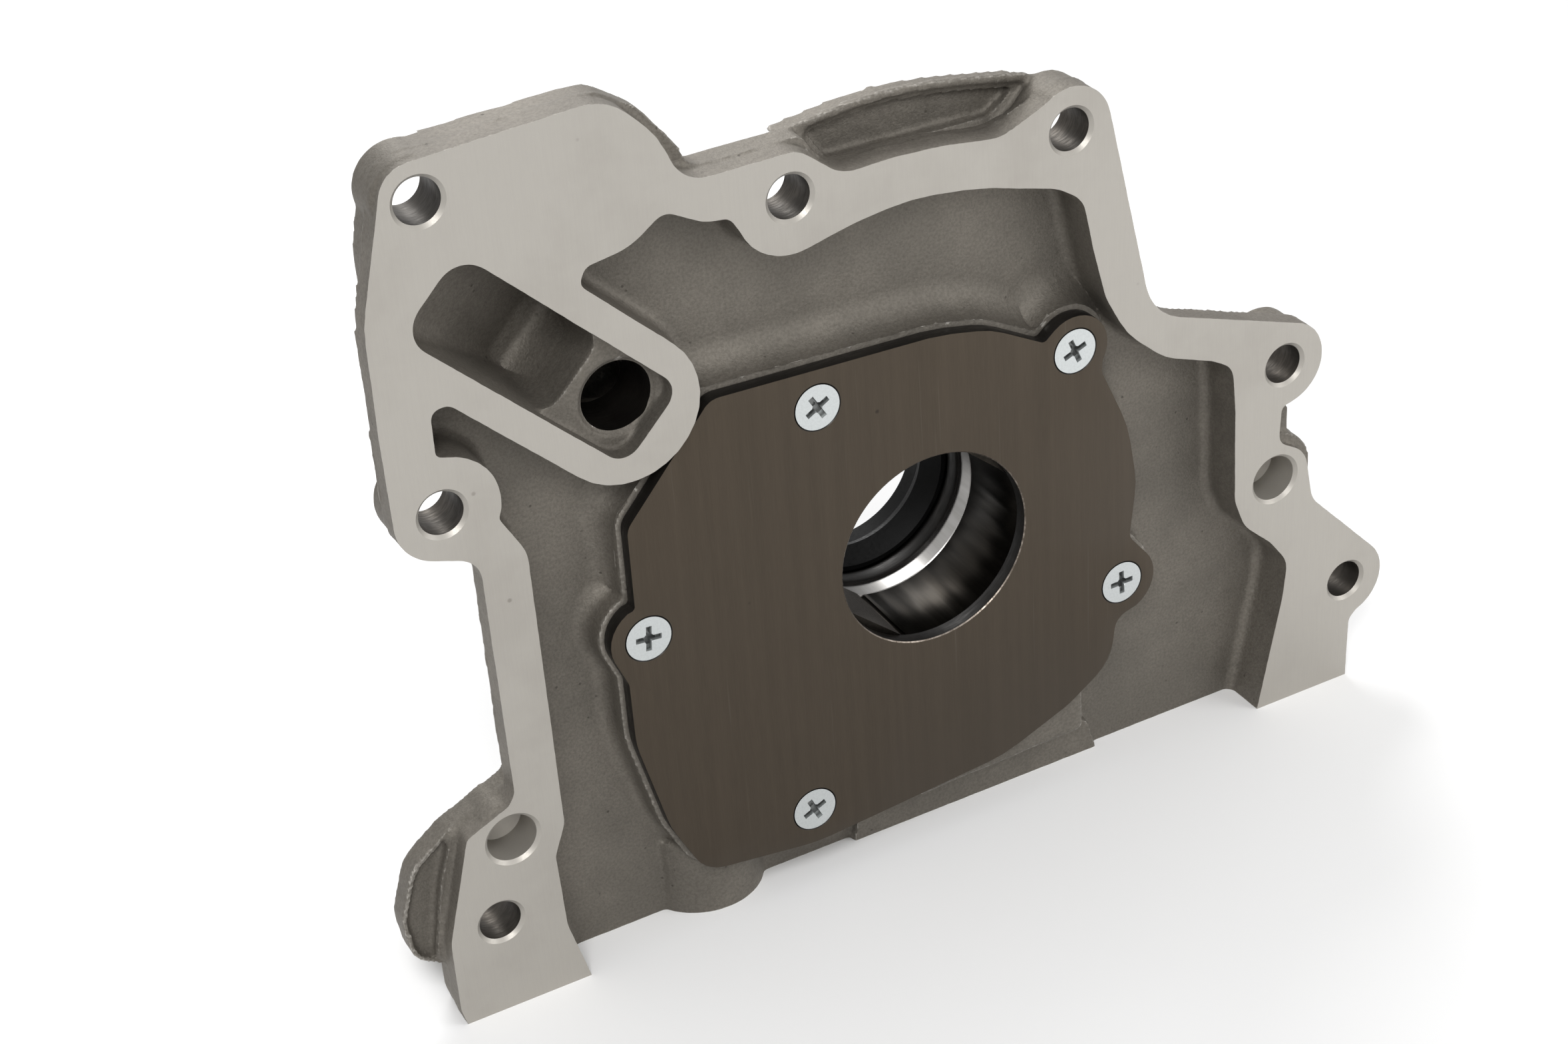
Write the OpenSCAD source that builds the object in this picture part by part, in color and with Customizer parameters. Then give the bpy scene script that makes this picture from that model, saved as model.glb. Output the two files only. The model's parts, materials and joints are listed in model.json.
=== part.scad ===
// Crankshaft-driven engine oil pump in the cast front housing of an engine.
// The origin is on the crankshaft axis, in the plane of the cover plate's outer face.
// +Y runs from the engine block to the pulley side, and +Z is up. The sump face is underneath.

/* [Gasket flange] */
// Depth of the bosses and the thick parts of the rail behind the gasket face
flange_t = 10; // [9.9:0.1:12]
// Depth of the thin parts of the rail behind the gasket face
rail_t = 5; // [4:0.5:7]
// Depth of the inner floor behind the gasket face
floor_depth = 9.9; // [8:0.1:9.9]
// Thickness of the cast floor
skin_t = 4; // [3:0.5:6]
// Radius of the fillet between the rail and the floor
floor_fillet_r = 1.8; // [1:0.2:4]
// Depth of the cover plate's outer face behind the gasket face
plate_recess = 0.5; // [0.2:0.1:1.5]
// Height of the sump face below the crankshaft axis
sump_drop = 69; // [69:0.5:73]

/* [Flange holes] */
// Diameter of the holes for the flange bolts
bolt_hole_d = 8.4; // [6.6:0.2:9]
// Diameter of the chamfer at the mouth of a bolt hole
bolt_chamfer_d = 9.8; // [9.2:0.1:11]
// Diameter of the two blind dowel holes
dowel_hole_d = 10; // [8:0.5:11]
// Diameter of the chamfer at the mouth of a dowel hole
dowel_chamfer_d = 11.4; // [11.2:0.1:12.5]
// Depth of the dowel holes below the gasket face
dowel_depth = 8; // [6:0.5:8]

/* [Discharge slot] */
// Length of the slot in the gasket face that feeds the block
slot_len = 52.7; // [44:0.5:54]
// Width of the slot
slot_w = 17; // [14:0.5:18]
// Depth of the slot
slot_depth = 20; // [16:0.5:22]
// Wall beside the slot
slot_wall = 5.9; // [5:0.1:7]
// Wall at the lower end of the slot
slot_end_wall = 7.85; // [6:0.05:9]
// Diameter of the drilled hole in the slot
slot_hole_d = 13.6; // [10:0.2:14]

/* [Cover plate] */
// Thickness of the steel cover plate
plate_t = 3; // [2.5:0.5:4]
// Diameter of the crankshaft hole in the plate
plate_hole_d = 40.8; // [39:0.2:41.4]
// Overhang of the cast seat outside the plate's edge
seat_margin = 1; // [0.6:0.1:1.4]

/* [Cover screws] */
// Thread diameter of the countersunk screws
screw_d = 5; // [4:0.5:5]
// Head diameter of the countersunk screws
screw_head_d = 9.2; // [8.4:0.2:10]
// Length of the screws
screw_len = 13; // [10:0.5:14]

/* [Rotors] */
// Number of teeth on the inner rotor
inner_teeth = 8; // [6:1:8]
// Distance between the two rotors' axes
eccentricity = 3; // [2.4:0.1:3.1]
// Radius of the outer rotor's lobes
lobe_r = 9; // [8:0.5:9.5]
// Smallest radius of the inner rotor's teeth
inner_root_r = 24.3; // [24:0.1:24.6]
// Thickness of both rotors
rotor_t = 17.5; // [14:0.5:18]
// Ring of the outer rotor outside its tooth gaps
outer_rim = 4.5; // [4:0.1:5]
// Diameter of the inner rotor's bore
rotor_bore_d = 41.4; // [41:0.1:42]
// Distance across the bore's two driving flats
drive_flats = 38; // [36:0.2:39]
// Direction of the flats' normal, seen from the gasket face
drive_angle = 49; // [0:1:90]
// Clearance between the teeth
tooth_gap = 0.06; // [0.04:0.01:0.1]
// Clearance at each face of the rotors
face_gap = 0.06; // [0.05:0.01:0.08]
// Radial clearance of the outer rotor in its pocket
pocket_gap = 0.1; // [0.06:0.01:0.15]

/* [Crankshaft seal] */
// Diameter of the bright machined bore behind the rotors
journal_bore_d = 41.6; // [41.2:0.1:42.4]
// Diameter of the inner edge of the seal shoulder
shoulder_d = 39.8; // [38:0.2:40.4]
// Outer diameter of the oil seal
seal_d = 47; // [45:0.5:52]
// Width of the oil seal
seal_w = 10; // [9:0.5:11]
// Diameter of the sealing lip
lip_d = 32.4; // [30:0.2:34]
// Outer diameter of the boss around the seal
seal_boss_d = 60; // [58:0.5:66]

/* [Relief valve] */
// Diameter of the valve piston
piston_d = 12; // [10:0.5:13]
// Length of the valve piston
piston_len = 13; // [11:0.5:14]
// Travel of the valve piston
piston_travel = 6; // [4:0.5:7]
// Outer diameter of the relief spring
spring_d = 8; // [7:0.2:8.4]
// Wire diameter of the relief spring
spring_wire = 1.2; // [1:0.1:1.4]
// Outer diameter of the valve barrel
barrel_d = 21; // [19:0.5:22]
// Width across the plug's flats
plug_flats = 17; // [16:0.5:18]

/* [Sump side] */
// Depth of the sump flange from front to back
sump_flange_w = 21; // [19:0.5:24]
// Thickness of the sump flange
sump_flange_t = 9; // [8:0.5:11]
// Diameter of the hole for the pick-up pipe
pickup_d = 16; // [12:0.5:17]
// Spacing of the four threaded holes in the sump face
sump_pitch = 62; // [60:0.5:63]
// Tapping diameter of the M6 sump holes
sump_tap_d = 5; // [4.2:0.1:5.2]

/* [Hidden] */

// Most degrees that one straight piece of a rounded corner spans
arc_step = 12;
eps = 0.01;
// Size of a block that cuts off all that lies below a face
cutter = 400;

// Depths along Y, from the gasket face back
gasket_y = -plate_recess;
flange_back_y = gasket_y + flange_t;
rail_y = gasket_y + rail_t;
floor_y = gasket_y + floor_depth;
skin_back_y = floor_y + skin_t;
seat_y = plate_t;
rotor_y = seat_y + face_gap;
pocket_floor_y = rotor_y + rotor_t + face_gap;
journal_end_y = pocket_floor_y + 4.4;
seal_y = journal_end_y + 3.5;
seal_boss_y = seal_y + seal_w + 2.5;
body_back_y = pocket_floor_y + 6.4;
disc_back_y = body_back_y + 3;

// Rotor geometry
outer_teeth = inner_teeth + 1;
lobe_path_r = inner_root_r + eccentricity + lobe_r;
outer_root_r = lobe_path_r + 2 * eccentricity - lobe_r;
outer_rotor_r = outer_root_r + outer_rim;
pocket_r = outer_rotor_r + pocket_gap;
ecc_angle = -45;
rotor_axis = eccentricity * [cos(ecc_angle), sin(ecc_angle)];

// Centres of the flange's holes, as [x, z]
bolt_top_left = [-93, 100.3];
bolt_top_mid = [-26, 82];
bolt_top_right = [32, 79];
bolt_right = [82, 14.3];
bolt_foot_right = [100, -44];
bolt_left = [-97, 42.3];
bolt_foot_left = [-97.7, -48.1];
flange_bolts = [bolt_top_left, bolt_top_mid, bolt_top_right, bolt_right,
                bolt_foot_right, bolt_left, bolt_foot_left];
bolt_boss_r = [7.7, 8.4, 8.4, 8.6, 8, 8.8, 8];
spot_face_r = [8.9, 7.4, 8.2, 9.8, 9.2, 10, 9.2];
dowel_right = [80.5, -12];
dowel_left = [-93, -30.3];
dowels = [dowel_right, dowel_left];
dowel_boss_r = [9.9, 7.6];
dowel_floor_t = 2;
chamfer_depth = 0.7;

// Cover screws, as [x, z, turn of the cross recess]
screws = [[-61.3, 2.5, 85], [-23.3, 39, 30], [32.5, 33, 22], [43, -23.7, 2], [-30, -50.5, 24]];
screw_boss_r = 7.4;

// Discharge slot, which runs down to the right at 45 degrees
slot_mid = [-74.9, 64.9];
slot_dir = [cos(45), -sin(45)];
slot_end_r = 4;
slot_far_r = 5.5;
slot_boss_r = slot_w / 2 + slot_wall;
slot_boss_c = slot_mid + (slot_len / 2 + slot_end_wall - slot_boss_r) * slot_dir;
slot_across = [-slot_dir[1], slot_dir[0]];
slot_hole_c = slot_mid + (slot_len / 2 - 7.1) * slot_dir + 0.8 * slot_across;
platform_len = 17;
platform_y = 3.4;
slot_funnel = 0.8;
slot_floor_rise = 27;

// Oil passages behind the rotors
port_y = pocket_floor_y + 3;
gallery_y = pocket_floor_y + 0.9;
gallery_r = 5.5;
slot_boss_y = gallery_y + gallery_r + 2.6;
gallery_end = [-40, 26];
gallery_len = norm(gallery_end - slot_hole_c);
passage_overrun = 6;
gallery_turn = atan2(gallery_end[1] - slot_hole_c[1], gallery_end[0] - slot_hole_c[0]);

// Relief valve, which lies along X behind the floor
relief_z = gallery_end[1] - 3;
relief_y = gallery_y + 2;
barrel_end_x = -75;
barrel_start_x = -38;
barrel_wall = 3.5;
piston_face_x = -49.5;
piston_crown_t = 3;
valve_gap = 0.04;
valve_port_r = 4.4;
spill_x = piston_face_x - 5;
spill_z = -14;
spill_y = gallery_y;
spill_r = 3.6;
piston_wall = 1.6;
plug_r = piston_d / 2 + 1.5;
plug_head_t = 5;
plug_washer_t = 1.2;
plug_washer_w = 2.2;
plug_thread_len = 5.5;
plug_socket_floor_t = 4;
spring_turns = 7;
spring_start_x = piston_face_x - piston_crown_t;
spring_end_x = barrel_end_x + plug_socket_floor_t;

// Crankshaft seal
seal_r = seal_d / 2;
lip_r = lip_d / 2;
case_t = 1.3;
seal_back_y = seal_y + seal_w;
lip_y = seal_y + 4.6;
garter_wire_r = 0.85;

// Radius at a share of the room between the lip and the case's wall
function seal_at(share) = lip_r + share * (seal_r - case_t - lip_r);
garter_c = [seal_at(0.675), lip_y - 1.4];

// Sump side
pickup_x = -46;
sump_y = floor_y + sump_flange_w / 2;
sump_back_y = floor_y + sump_flange_w;
sump_x0 = -105;
sump_x1 = 101;
sump_boss_r = 7.5;
sump_boss_h = 7;
sump_tap_depth = 13;
pickup_boss_h = 31;
pipe_boss_c = [-49.1, 16.4];
pipe_boss_r = 13.2;
pipe_boss_h = 17;

// Helpers for corner lists of [x, z, radius]
function unit(v) = v / norm(v);
function turn_sign(a, b, c) = (b[0] - a[0]) * (c[1] - b[1]) - (b[1] - a[1]) * (c[0] - b[0]) > 0 ? 1 : -1;
function xz(p) = [p[0], p[1]];

// Points of one corner b between a and c, rounded to radius r where there is room
function corner(a, b, c, r) =
    let (u = unit(a - b), v = unit(c - b), half = acos(max(-1, min(1, u * v))) / 2)
    (r <= 0 || half > 89.6) ? [b] :
    let (t = min(r / tan(half), 0.48 * norm(a - b), 0.48 * norm(c - b)),
         rr = t * tan(half),
         m = b + unit(u + v) * rr / sin(half),
         turn = 180 - 2 * half,
         n = max(1, ceil(turn / arc_step)),
         start = b + u * t - m,
         a0 = atan2(start[1], start[0]),
         s = turn_sign(a, b, c))
    [for (i = [0:n]) m + rr * [cos(a0 + s * turn * i / n), sin(a0 + s * turn * i / n)]];

// Outline with rounded corners from a list of [x, z, radius]
function rounded(list) =
    let (n = len(list))
    [for (i = [0:n - 1])
        each corner(xz(list[(i + n - 1) % n]), xz(list[i]), xz(list[(i + 1) % n]), list[i][2])];

// Points on an arc, as corners with no radius of their own
function arc(c, r, a0, a1) =
    let (n = ceil(abs(a1 - a0) / arc_step))
    [for (i = [0:n]) let (a = a0 + (a1 - a0) * i / n) [c[0] + r * cos(a), c[1] + r * sin(a), 0]];

// Twice the signed area of an outline
function area2(list) =
    let (n = len(list))
    [for (i = [0:n - 1])
        list[i][0] * list[(i + 1) % n][1] - list[(i + 1) % n][0] * list[i][1]] * [for (i = [1:n]) 1];

// Corner list moved outwards by d, or inwards where d is negative
function grown(list, d) =
    let (n = len(list), s = sign(area2(list)))
    [for (i = [0:n - 1])
        let (a = xz(list[(i + n - 1) % n]), b = xz(list[i]), c = xz(list[(i + 1) % n]),
             e1 = unit(b - a), e2 = unit(c - b),
             n1 = s * [e1[1], -e1[0]], n2 = s * [e2[1], -e2[0]],
             m = b + d * (n1 + n2) / (1 + n1 * n2),
             outer = turn_sign(a, b, c) * s > 0)
        [m[0], m[1], list[i][2] == 0 ? 0 : max(0.3, list[i][2] + (outer ? d : -d))]];

// Gasket face, outer edge, clockwise from the left foot
face_edge = concat(
    [[-107, -sump_drop, 0], [-108.3, -65.5, 2], [-108.2, -49, 9], [-101.9, -26.6, 1.5],
     [-92.8, -22.6, 2.5], [-91.5, -20.2, 1.2], [-91.6, 31, 5.5]],
    arc(bolt_left, 9, 255, 180),
    [[-106, 60, 40], [-105.5, 81, 25], [-98.4, 107.4, 6], [-58.5, 109.4, 11], [-49.8, 100.3, 18],
     [-46.2, 90.4, 8], [-23.8, 90.5, 6], [-15.8, 83.7, 8], [0, 84.2, 60], [17, 81.7, 9]],
    arc(bolt_top_right, 8.6, 130, 10),
    [[49.9, 35.5, 12]],
    arc(bolt_right, 9.3, 62, -78),
    [[81.6, 4.8, 2.2], [81.2, -3.6, 3], [88, -7.6, 7], [90.2, -20, 6]],
    arc(bolt_foot_right, 9.3, 45, -70),
    [[101.4, -54.5, 2], [101.1, -sump_drop, 0]]);

// Rail behind its parting line, which is full only at the left foot and along the top
back_edge = [[-106.7, -sump_drop, 0], [-108, -65.4, 2], [-107.9, -49, 9], [-101.6, -26.2, 1.5],
             [-90.2, -21, 2], [-88.6, -16, 2], [-88.6, 31, 4], [-102.4, 38, 5], [-102.4, 90, 8],
             [-98, 107.2, 7], [-58.6, 109.1, 9], [-50.4, 103.4, 9], [-44.4, 95.4, 6], [-42.2, 90.6, 3],
             [-20.6, 90.5, 1.5], [-15.9, 83.4, 8], [0, 83.9, 60], [17, 81.4, 9], [24.5, 83, 3],
             [30.2, 87, 4], [39.2, 83, 5], [38.6, 76, 3], [46.6, 34, 6], [78.6, 22, 4], [84.9, 4, 4],
             [84.9, -8, 3], [87.4, -20, 4], [98, -38, 5], [98.6, -54, 3], [98.2, -sump_drop, 0]];

// Web that shows in the notch between the right bolt hole and the dowel hole
notch_web = [[76, 9, 0], [83.6, 6, 2], [85.2, 2, 2], [85.2, -7, 2], [78, -9, 0]];
notch_web_y = 2;

// Recess inside the gasket face, open between the feet
foot_run = sump_drop + 11;
recess_edge = concat(
    [[-77.6, -foot_run, 0], [-84.7, -55, 8], [-85.2, -37.8, 2.5], [-82.6, -31, 6], [-82.6, 29.5, 9]],
    arc(bolt_left, 11, -24, 80),
    [[-96.6, 53.6, 1.8], [-96.4, 62.4, 2.8], [-93, 62.64, 2.2]],
    arc(slot_boss_c, slot_boss_r, -135, 45),
    [[-67, 77.36, 1.8], [-65.6, 80.4, 1.8], [-57, 81.6, 12], [-50.2, 86.3, 3.2], [-42.5, 82, 10],
     [-38, 81.6, 2.2]],
    arc(bolt_top_mid, 10.8, 200, 285),
    [[-14, 73.6, 20], [-2, 75.1, 40], [12, 73.2, 40], [29, 68.2, 12], [34.4, 64.4, 6],
     [36.5, 53.5, 20], [39.2, 42.5, 15], [44, 33.2, 20], [53, 25.2, 14], [64.2, 20.9, 3],
     [69.2, 18, 5], [70, 8, 20], [70.4, -14, 8], [73, -20.8, 8], [80, -27.4, 8], [84.3, -33.5, 6],
     [83.4, -42, 12], [74.5, -foot_run, 0]]);

// Cover plate, with ears round three of its screws
plate_edge = concat(
    [[-44.6, 47.6, 4], [-20, 46.6, 0], [3, 45.7, 30], [14, 43.4, 20], [25.6, 36.9, 1.2]],
    arc(xz(screws[2]), screw_boss_r, 128, -32),
    [[38.6, 26.4, 2.5], [44.6, 12.5, 30], [46.6, -1, 20], [44.9, -13.5, 3]],
    arc(xz(screws[3]), 7.8, 40, -62),
    [[41.6, -32, 5], [40.2, -42, 10], [30, -48.9, 15], [14, -55.3, 25], [-12, -57.4, 30],
     [-30, -58.8, 30], [-54.6, -55.4, 8], [-61, -42, 20], [-66.2, -20, 20], [-66.2, -6, 3]],
    arc(xz(screws[0]), 7.7, 200, 118),
    [[-63.4, 9.6, 1], [-63.2, 26.8, 4]]);
seat_edge = grown(plate_edge, seat_margin);

// Square tongue of the seat at its lower right
tongue_edge = [[-5, -50, 0], [35.3, -45, 0], [35.3, -59.1, 1.5], [-5, -60.2, 1.5]];

// Pad along the bottom edge, a little proud of the floor
pad_edge = [[-18.2, -sump_drop, 0], [-16, -60.5, 3], [39, -60.5, 3], [41.9, -sump_drop, 0]];
pad_rise = 1.9;

// Curved lug behind the left foot
lug_edge = [[-90.6, -21.4, 1.5], [-103.6, -26.8, 6], [-111.8, -32.8, 9], [-115.4, -44, 10],
            [-114.2, -53.6, 5], [-108.6, -56.6, 1], [-100, -57, 0], [-90, -50, 0]];
lug_y = 4.4;
lug_t = 5.1;
lug_floor_t = 3.7;
lug_rim = 1;
lug_ledge = [[-96, -27, 0], [-103.3, -26.9, 1.5], [-107, -37.5, 12], [-109.9, -53.1, 1.5], [-109.2, -55.2, 0.6],
             [-98, -55.4, 0]];
lug_ledge_y = 3.5;

// Thin wall behind the upper rail, and the gutter between them
gutter_wall_edge = [[-24, 84, 0], [-24, 90.1, 0.6], [-18, 91, 12], [-8.3, 92.2, 30], [1.4, 92.5, 30],
                    [12.5, 91.1, 40], [21.7, 89.4, 40], [30.4, 87.8, 4], [31, 80, 0], [0, 76, 0]];
gutter_edge = [[-14, 81, 0], [-18.4, 87.8, 2], [-17.4, 89.8, 1.4], [-8.2, 90.8, 30], [1.4, 91.1, 30],
               [12.4, 89.7, 40], [21.5, 88, 40], [28.4, 86.6, 0.8], [24.6, 82.6, 2], [20.6, 80, 0]];
gutter_y = 8.4;
gutter_rim_y = 10;
gutter_back_y = 15;
gutter_floor_t = 3.6;
gutter_draft = 1.4;

// Suction chamber under the cover plate
chamber_edge = [[-61.5, -6.5, 4], [-43.5, -6.5, 4], [-40.5, -21, 6], [-33.5, -31.5, 4],
                [-38, -42, 4], [-38, -50.5, 4], [-53, -50.5, 5]];
chamber_link = [[-50, -12, 3], [-28, -6, 3], [-18, -24, 3], [-36, -38, 3]];
outlet_link = [[-8, 24, 3], [-6, 34, 3], [-36, 33, 3], [-36, 22, 3]];

// Solid between the depths y0 and y1 from a list of points
module slab(points, y0, y1) {
    translate([0, y1, 0]) rotate([90, 0, 0]) linear_extrude(y1 - y0) polygon(points);
}

// Round bar along Y between the depths y0 and y1, with its own radius at each end
module bar(c, r0, y0, y1, r1 = 0, fn = 64) {
    translate([c[0], y0, c[1]]) rotate([-90, 0, 0])
        cylinder(h = y1 - y0, r1 = r0, r2 = r1 == 0 ? r0 : r1, $fn = fn);
}

// Bar along +X from x0 to x1
module bar_x(x0, x1, y, z, r, fn = 64) {
    translate([x0, y, z]) rotate([0, 90, 0]) cylinder(h = x1 - x0, r = r, $fn = fn);
}

// Points of a ring sector round the centre c
function sector(c, r0, r1, a0, a1) =
    let (n = ceil((a1 - a0) / 6))
    concat([for (i = [0:n]) c + r1 * [cos(a0 + (a1 - a0) * i / n), sin(a0 + (a1 - a0) * i / n)]],
           [for (i = [n:-1:0]) c + r0 * [cos(a0 + (a1 - a0) * i / n), sin(a0 + (a1 - a0) * i / n)]]);

// Corners of the slot when its far end, its near end and all its sides are pulled in
function slot_corners(far_cut = 0, draw = 0, near_cut = 0) =
    let (w = (slot_w / 2 - draw) * slot_across,
         near = slot_mid + (slot_len / 2 - draw - near_cut) * slot_dir,
         far = slot_mid - (slot_len / 2 - draw - far_cut) * slot_dir)
    [[near[0] - w[0], near[1] - w[1], slot_end_r], [far[0] - w[0], far[1] - w[1], slot_far_r],
     [far[0] + w[0], far[1] + w[1], slot_far_r], [near[0] + w[0], near[1] + w[1], slot_end_r]];

// Recess in the gasket face, which narrows towards the floor in a stepped fillet
module recess() {
    steps = 4;
    slab(rounded(recess_edge), gasket_y - 1, floor_y - floor_fillet_r);
    for (i = [1:steps]) {
        down = floor_fillet_r * i / steps;
        mid = floor_fillet_r * (i - 0.5) / steps;
        inset = floor_fillet_r - sqrt(pow(floor_fillet_r, 2) - pow(mid, 2));
        slab(rounded(grown(recess_edge, -inset)), floor_y - floor_fillet_r + down - floor_fillet_r / steps - eps,
             floor_y - floor_fillet_r + down);
    }
}

// Raised seat of the cover plate, with a stepped fillet at its foot
module seat() {
    foot_r = 1.8;
    steps = 3;
    slab(rounded(seat_edge), seat_y, body_back_y);
    slab(rounded(tongue_edge), seat_y, skin_back_y);
    for (i = [1:steps]) {
        mid = foot_r * (i - 0.5) / steps;
        out = foot_r - sqrt(pow(foot_r, 2) - pow(mid, 2));
        slab(rounded(grown(seat_edge, out)), floor_y - foot_r + foot_r * (i - 1) / steps, floor_y + 1);
    }
}

// Body behind the slot, and the slot itself
module slot_body() {
    back_y = slot_depth + gasket_y + slot_wall - 1.5;
    hull() {
        slab(rounded(grown(slot_corners(1.5), slot_wall - 1)), flange_back_y - 3, flange_back_y);
        slab(rounded(grown(slot_corners(17, 1), slot_wall - 1.5)), back_y - 0.5, back_y);
    }
    bar(slot_boss_c, slot_boss_r - 1, floor_y + 1, slot_boss_y);
}

// Shallow platform round the drilled hole, and the deep trough beyond it
module slot_pocket() {
    slab(rounded(slot_corners()), gasket_y - 1, platform_y);
    hull() {
        slab(rounded(slot_corners(0, 0.1, platform_len)), platform_y - eps, platform_y + 1.6);
        slab(rounded(slot_corners(slot_floor_rise, 1.2, platform_len)),
             slot_depth + gasket_y - 0.6, slot_depth + gasket_y);
    }
    bar(slot_hole_c, slot_hole_d / 2 + slot_funnel, platform_y - eps, platform_y + 1.2, slot_hole_d / 2);
    bar(slot_hole_c, slot_hole_d / 2, platform_y - 1, gallery_y + 3);
}

// Lug behind the left foot, hollowed from the front
module lug() {
    difference() {
        slab(rounded(lug_edge), lug_y, lug_y + lug_t);
        slab(rounded(grown(lug_edge, -lug_rim)), lug_y - 1, lug_y + lug_t - lug_floor_t);
    }
    slab(rounded(lug_ledge), lug_ledge_y, lug_y + lug_t - 0.5);
}

// Thin wall behind the upper rail
module gutter_wall() {
    slab(rounded(gutter_wall_edge), gutter_y, gutter_rim_y);
    slab(rounded(grown(gutter_wall_edge, -gutter_draft)), gutter_rim_y - eps, gutter_back_y);
}

module gutter() {
    ledge_y = gutter_rim_y - 0.8;
    slab(rounded(gutter_edge), gutter_y - 1, ledge_y);
    slab(rounded(grown(gutter_edge, -gutter_draft)), ledge_y - eps, gutter_back_y - gutter_floor_t);
}

// Bosses of the flange's holes, and the web beside the right dowel
module bosses() {
    for (i = [0:len(flange_bolts) - 1]) bar(flange_bolts[i], bolt_boss_r[i], gasket_y + 2, flange_back_y);
    for (i = [0:len(dowels) - 1])
        bar(dowels[i], dowel_boss_r[i], gasket_y + 1.5, gasket_y + dowel_depth + dowel_floor_t);
    slab(rounded(notch_web), notch_web_y, flange_back_y - 1);
}

// Sump flange under the floor
module sump_flange() {
    translate([sump_x0, floor_y - eps, -sump_drop])
        cube([sump_x1 - sump_x0, sump_flange_w + eps, sump_flange_t]);
    slab(rounded(pad_edge), floor_y - pad_rise, sump_back_y - 2);
    for (i = [-1.5:1:1.5])
        translate([i * sump_pitch, sump_y, -sump_drop])
            cylinder(h = sump_flange_t + sump_boss_h, r = sump_boss_r, $fn = 48);
    translate([pickup_x, sump_y, -sump_drop]) cylinder(h = pickup_boss_h, r = pickup_d / 2 + 3.2, $fn = 64);
    translate([pipe_boss_c[0], pipe_boss_c[1], -sump_drop]) cylinder(h = pipe_boss_h, r = pipe_boss_r, $fn = 96);
}

// Valve barrel and gallery barrel on the back
module barrels() {
    bar_x(barrel_end_x, barrel_start_x, relief_y, relief_z, barrel_d / 2);
    translate([slot_hole_c[0], gallery_y, slot_hole_c[1]]) rotate([0, 90 - gallery_turn, 0])
        cylinder(h = gallery_len, r = gallery_r + barrel_wall, $fn = 64);
}

// Ribs that tie the seal boss to the floor
module ribs() {
    rib_t = 4;
    for (a = [20, 80, 200, 255, 320])
        rotate([0, -a, 0]) translate([seal_boss_d / 2 - 4, floor_y + 1, -rib_t / 2])
            cube([21, body_back_y + 5 - floor_y, rib_t]);
}

// Everything that is cut by the casting's machining
module machined_cuts() {
    for (i = [0:len(flange_bolts) - 1]) {
        bar(flange_bolts[i], bolt_hole_d / 2, gasket_y - 1, seal_boss_y);
        bar(flange_bolts[i], bolt_chamfer_d / 2, gasket_y, gasket_y + chamfer_depth, bolt_hole_d / 2);
        bar(flange_bolts[i], spot_face_r[i], flange_back_y, seal_boss_y);
    }
    for (c = dowels) {
        bar(c, dowel_hole_d / 2, gasket_y - 1, gasket_y + dowel_depth);
        bar(c, dowel_chamfer_d / 2, gasket_y, gasket_y + chamfer_depth, dowel_hole_d / 2);
    }
    for (s = screws) bar(xz(s), screw_d / 2, seat_y - 1, seat_y + screw_len);
    bar(rotor_axis, pocket_r, seat_y - 1, pocket_floor_y, fn = 128);
    bar([0, 0], journal_bore_d / 2, pocket_floor_y - 1, journal_end_y, fn = 128);
    bar([0, 0], shoulder_d / 2, journal_end_y - 1, seal_y + 1, fn = 128);
    bar([0, 0], seal_d / 2, seal_y, seal_boss_y + 1, fn = 128);
    bar([0, 0], seal_d / 2, seal_boss_y - 1.2, seal_boss_y + eps, seal_d / 2 + 1.2, fn = 128);
}

// Everything that is cut for the oil
module oil_cuts() {
    inlet_mid = ecc_angle - 90;
    outlet_mid = ecc_angle + 90;
    port_span = 62;
    slab(sector(rotor_axis, 25.4, outer_root_r, inlet_mid - port_span, inlet_mid + port_span),
         pocket_floor_y - 1, port_y);
    slab(sector(rotor_axis, 25.4, outer_root_r, outlet_mid - port_span, outlet_mid + port_span),
         pocket_floor_y - 1, port_y);
    slab(rounded(chamber_edge), seat_y - 1, port_y);
    slab(rounded(chamber_link), pocket_floor_y, port_y);
    slab(rounded(outlet_link), pocket_floor_y, port_y);
    translate([pickup_x, sump_y, -sump_drop - 1]) cylinder(h = pickup_boss_h - 4, r = pickup_d / 2, $fn = 64);
    translate([slot_hole_c[0], gallery_y, slot_hole_c[1]]) rotate([0, 90 - gallery_turn, 0])
        cylinder(h = gallery_len + passage_overrun, r = gallery_r, $fn = 64);
    bar_x(barrel_end_x - 1, piston_face_x, relief_y, relief_z, piston_d / 2 + valve_gap);
    bar_x(piston_face_x - 1, barrel_start_x - passage_overrun / 2, relief_y, relief_z, valve_port_r);
    bar_x(barrel_end_x - 1, barrel_end_x + plug_thread_len, relief_y, relief_z, plug_r);
    translate([spill_x, spill_y, spill_z]) cylinder(h = relief_z - spill_z, r = spill_r, $fn = 48);
    for (i = [-1.5:1:1.5])
        translate([i * sump_pitch, sump_y, -sump_drop - 1])
            cylinder(h = sump_tap_depth + 1, r = sump_tap_d / 2, $fn = 48);
}

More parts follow.
